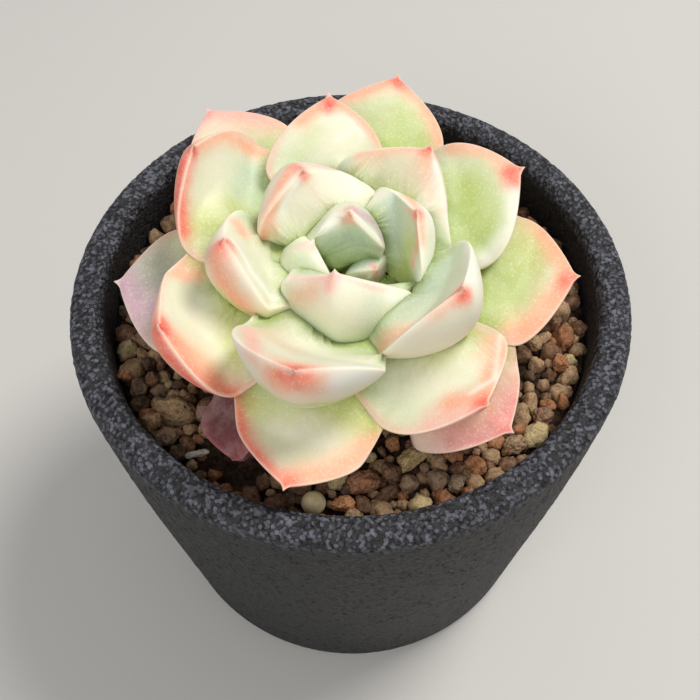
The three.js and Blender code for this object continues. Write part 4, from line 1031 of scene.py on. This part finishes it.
for i in range(COUNT):
    x, y, z = pos[i]
    g = (5.5 - 1 < x < 11.5 + 1) and (-36.8 - 1 < y < -32.4 + 1) and z + rad_g[i] > 71.2
    clear = all_leaves.find_nearest(Vector(pos[i]), 6.0)
    if clear[0] is not None:
        s = (Vector(pos[i]) - clear[0]).dot(clear[1])
        if s < 0 or clear[3] < rad_g[i] * 0.8:
            continue
    if z + rad_g[i] > 72.6 or g or math.hypot(x, y) + rad_g[i] * 0.9 > inner_radius(z):
        continue
    near = np.sqrt(((fixed[:, :3] - pos[i]) ** 2).sum(1)) < 0.72 * (fixed[:, 3] + rad_g[i])
    if near.any():
        continue
    keep.append(i)
pos, rad_g = pos[keep], rad_g[keep]
# smaller grains fill the gaps that are left, sunk into the bed
fill_p, fill_r = [], []
for tries in range(6000):
    a, r = rng.uniform(0, 2 * np.pi), math.sqrt(rng.uniform(14.0 ** 2, 38.0 ** 2))
    rad_1 = rng.uniform(1.0, 1.65) if tries < 2600 else rng.uniform(0.7, 1.1)
    x, y = r * math.cos(a), r * math.sin(a)
    z = float(bed_height(x, y)) - 0.15 + rng.uniform(-0.25, 0.35)
    if r + rad_1 > inner_radius(z):
        continue
    p = np.array([x, y, z])
    for c, rs, k in ((pos, rad_g, 0.66), (fixed[:, :3], fixed[:, 3], 0.75), (np.array(fill_p).reshape(-1, 3), np.array(fill_r), 0.82)):
        if len(c) and (np.sqrt(((c - p) ** 2).sum(1)) < k * (rs + rad_1)).any():
            break
    else:
        hit = all_leaves.find_nearest(Vector(p), 4.0)
        if hit[0] is None or ((Vector(p) - hit[0]).dot(hit[1]) > 0 and hit[3] > rad_1 * 0.85):
            fill_p.append(p)
            fill_r.append(rad_1)
pos, rad_g = np.concatenate([pos, fill_p]), np.concatenate([rad_g, fill_r])


def grain_material():
    m = Nodes("grain_rough")
    col = m.attr("tint")
    pore = m.attr("pore", "Fac")
    mott = m.noise(900, 4, 0.65)
    fine = m.noise(3600, 3, 0.7)
    col = m.mix(m.ramp(mott, 0.40, 0.72, 0.0, 0.55), col, m.mix(0.5, col, lin((0.86, 0.74, 0.58))))
    col = m.mix(m.ramp(mott, 0.50, 0.28, 0.0, 0.5), col, m.mix(0.6, col, lin((0.22, 0.15, 0.11))))
    col = m.mix(m.ramp(fine, 0.52, 0.36, 0.0, 0.55), col, m.mix(0.7, col, lin((0.16, 0.11, 0.085))))
    # painted shade: the sunk pores and hollows of each grain are painted dark
    col = m.mix(m.math("MULTIPLY", pore, 0.8), col, m.mix(0.75, col, lin((0.12, 0.08, 0.06))))
    b = m.bump(mott, 0.55, 0.0006)
    b = m.bump(fine, 0.5, 0.0003, b)
    return m.set(Base_Color=col, Roughness=0.9, Specular_IOR_Level=0.25, Normal=b)


grain_mat = grain_material()


def joined(parts):
    vs, fs, cs, ps, n = [], [], [], [], 0
    for p, f, c, po in parts:
        vs.append(p)
        fs.append(f + n)
        cs.append(np.repeat(np.asarray(c)[None], len(p), 0))
        ps.append(po)
        n += len(p)
    return np.concatenate(vs), np.concatenate(fs), {"tint": np.concatenate(cs), "pore": np.concatenate(ps)}


groups = {"grains_front": [], "grains_right": [], "grains_left": [], "grains_back": []}
for i in range(len(pos)):
    x, y, z = pos[i]
    r = rad_g[i]
    front = y < 6 and z > 69.3
    half = np.array([1.0, 1.0, 1.0]) * r * rng.uniform([1.02, 0.92, 0.80], [1.28, 1.08, 0.98])
    p, f, po = lump(rng, half, 3 if front and math.hypot(x, y) > 17 else 2)
    p = p @ turn(rng).T + pos[i]
    c = lin(SHADES[rng.choice(6, p=CHANCE)]) * rng.uniform(1.0, 1.45)
    a = math.degrees(math.atan2(y, x))
    key = "grains_front" if -135 <= a < -62 else "grains_right" if -62 <= a < 20 else "grains_left" if (a < -135 or a > 160) else "grains_back"
    groups[key].append((p, f, c, po))
first = True
for key, parts in groups.items():
    v_, f_, lay = joined(parts)
    ob = make_mesh(key, v_, f_, lay)
    put(ob, grain_mat, ("soil",) if first else ())
    first = False

# the bed under the grains: coarse, dark, closed below
BR, BS = 64, 220
rad_b = np.concatenate([np.linspace(0.6, 39.0, BR)])
ang_b = np.linspace(0, 2 * np.pi, BS, endpoint=False)
XB, YB = rad_b[:, None] * np.cos(ang_b), rad_b[:, None] * np.sin(ang_b)
ZB = bed_height(XB, YB) - 0.75
pb_ = np.stack([XB, YB, ZB], -1).reshape(-1, 3)
f1, f2 = cells(pb_ / 2.3, 77)
pb_[:, 2] += 0.9 * smooth(f1, 0.6, 0.1) - 0.35 + 0.2 * fbm(pb_ / 0.9, 2, 60)
skirt = []
for z in (66.5, 60.0, 40.0, 20.0, 6.6):
    ri = inner_radius(z) - 0.45
    skirt.append(np.stack([ri * np.cos(ang_b), ri * np.sin(ang_b), np.full(BS, z)], -1))
for ri in (24.0, 10.5):
    skirt.append(np.stack([ri * np.cos(ang_b), ri * np.sin(ang_b), np.full(BS, 6.75)], -1))
pb_ = np.concatenate([pb_] + skirt)
nr_ = BR + 7
fb = ring_faces(nr_, BS)[:, ::-1]
top_c, bot_c = nr_ * BS, nr_ * BS + 1
cb = np.arange(BS)
cap_t = np.stack([np.full(BS, top_c), cb, (cb + 1) % BS], -1)
cap_b = np.stack([np.full(BS, bot_c), (nr_ - 1) * BS + (cb + 1) % BS, (nr_ - 1) * BS + cb], -1)
pb_ = np.concatenate([pb_, [[0, 0, float(bed_height(0, 0)) - 0.75], [0, 0, 6.75]]])
bed = make_mesh("soil_bed", pb_, [fb, cap_t, cap_b])
sm = Nodes("soil_dark")
s1, s2 = sm.noise(700, 4, 0.7), sm.noise(2500, 3, 0.7)
sc_ = sm.mix(sm.ramp(s1, 0.35, 0.7), lin((0.13, 0.095, 0.075)), lin((0.34, 0.25, 0.19)))
sc_ = sm.mix(sm.ramp(s2, 0.55, 0.75, 0, 0.4), sc_, lin((0.50, 0.38, 0.28)))
sb = sm.bump(s2, 0.5, 0.0004, sm.bump(s1, 0.7, 0.001))
put(bed, sm.set(Base_Color=sc_, Roughness=0.95, Specular_IOR_Level=0.2, Normal=sb), ())

# named grains
for k, (name, (x, y, hx, hy, hz, deg, col)) in enumerate(NAMED.items()):
    g = np.random.default_rng(300 + k)
    p, f, po = lump(g, (hx * 1.06, hy * 1.06, hz * 1.08), 4, 1.4, 8)
    c, s = math.cos(deg * RAD), math.sin(deg * RAD)
    p = p @ np.array([[c, s, 0], [-s, c, 0], [0, 0, 1]]) + np.array([x, y, float(bed_height(x, y)) + 0.55 * hz])
    ob = make_mesh(name.replace("grain_", "chip_"), p, f, {"tint": np.repeat(lin(col)[None], len(p), 0), "pore": po})
    put(ob, grain_mat, (name,))

# feed pellet
dirs, tris = BALLS[4]
wr = fbm(dirs * 2.2, 3, 88)
pp = dirs * (PELLET[2] * (1 + 0.018 * wr))[:, None] * np.array([1.0, 0.97, 0.95])
pp = pp + np.array([PELLET[0], PELLET[1], float(bed_height(PELLET[0], PELLET[1])) + 1.35])
pel = make_mesh("feed_ball", pp, tris)
m = Nodes("pellet_coat")
pc = m.mix(m.ramp(m.noise(500, 3, 0.6), 0.35, 0.7), lin((0.90, 0.82, 0.62)), lin((0.97, 0.93, 0.80)))
pc = m.mix(m.ramp(m.noise(2400, 2, 0.6), 0.56, 0.7, 0, 0.5), pc, lin((0.74, 0.62, 0.43)))
put(pel, m.set(Base_Color=pc, Roughness=0.42, Specular_IOR_Level=0.4, Subsurface_Weight=0.1, Subsurface_Scale=0.0006,
               Normal=m.bump(m.noise(1500, 3, 0.6), 0.3, 0.0003)), ("feed_pellet",))

# a bit of dead root: a thin bent rod with a ragged skin
RR, RC = 40, 20
t = np.linspace(0, 1, RR)
a0, a1 = np.array(ROOT_BIT[0]), np.array(ROOT_BIT[1])
line_ = a0[None, :] * (1 - t)[:, None] + a1[None, :] * t[:, None]
side_ = np.array([-(a1 - a0)[1], (a1 - a0)[0]]) / np.linalg.norm(a1 - a0)
line_ = line_ + side_[None, :] * (0.28 * np.sin(t * 3.0) + 0.08 * np.sin(9 * t))[:, None]
zc = 69.62 + 0.14 * np.sin(2.6 * t + 0.4)
ctr = np.stack([line_[:, 0], line_[:, 1], zc], -1)
tan_ = np.gradient(ctr, axis=0)
tan_ /= np.linalg.norm(tan_, axis=1)[:, None]
s1_ = np.cross(tan_, [0, 0, 1.0])
s1_ /= np.linalg.norm(s1_, axis=1)[:, None]
s2_ = np.cross(s1_, tan_)
rad_r = 0.5 * (1 - 0.5 * np.abs(2 * t - 1) ** 6) * (1 + 0.10 * np.sin(11 * t + 1)) * np.where((t < 0.02) | (t > 0.98), 0.55, 1)
an = np.linspace(0, 2 * np.pi, RC, endpoint=False)
rr_ = rad_r[:, None] * (1 + 0.10 * np.sin(5 * an + 7 * t[:, None]) + 0.05 * np.sin(3 * an - 15 * t[:, None]))
rp = ctr[:, None, :] + rr_[..., None] * (np.cos(an)[None, :, None] * s1_[:, None, :] + np.sin(an)[None, :, None] * s2_[:, None, :])
rp = np.concatenate([rp.reshape(-1, 3), [ctr[0] - 0.12 * tan_[0], ctr[-1] + 0.12 * tan_[-1]]])
cq = np.arange(RC)
rf = [ring_faces(RR, RC), np.stack([np.full(RC, RR * RC), (cq + 1) % RC, cq], -1),
      np.stack([np.full(RC, RR * RC + 1), (RR - 1) * RC + cq, (RR - 1) * RC + (cq + 1) % RC], -1)]
rb = make_mesh("root_bit", rp, rf)
m = Nodes("root_dry")
rc_ = m.mix(m.ramp(m.noise(900, 3, 0.6, m.stretch(1, 4, 4)), 0.35, 0.7), lin((0.70, 0.66, 0.58)), lin((0.90, 0.88, 0.82)))
put(rb, m.set(Base_Color=rc_, Roughness=0.8, Specular_IOR_Level=0.25, Normal=m.bump(m.noise(1800, 3, 0.6), 0.4, 0.0003)), ("dead_root",))

# stem, roots and net keep their shape and get a better finish
m = Nodes("stem_skin")
stc = m.mix(m.ramp(m.noise(500, 4, 0.6), 0.35, 0.7), lin((0.42, 0.40, 0.22)), lin((0.62, 0.58, 0.38)))
stem_mat = m.set(Base_Color=stc, Roughness=0.75, Specular_IOR_Level=0.3, Normal=m.bump(m.noise(900, 3, 0.6), 0.5, 0.0005))
m = Nodes("net_plastic")
ntc = m.mix(m.ramp(m.noise(800, 3, 0.6), 0.3, 0.8), lin((0.10, 0.10, 0.11)), lin((0.16, 0.16, 0.17)))
net_mat = m.set(Base_Color=ntc, Roughness=0.5, Specular_IOR_Level=0.45, Normal=m.bump(m.noise(3000, 2, 0.6), 0.15, 0.0002))
for node, mt in (("stem_with_roots", stem_mat), ("drain_net", net_mat)):
    nodes[node].data.materials.clear()
    nodes[node].data.materials.append(mt)
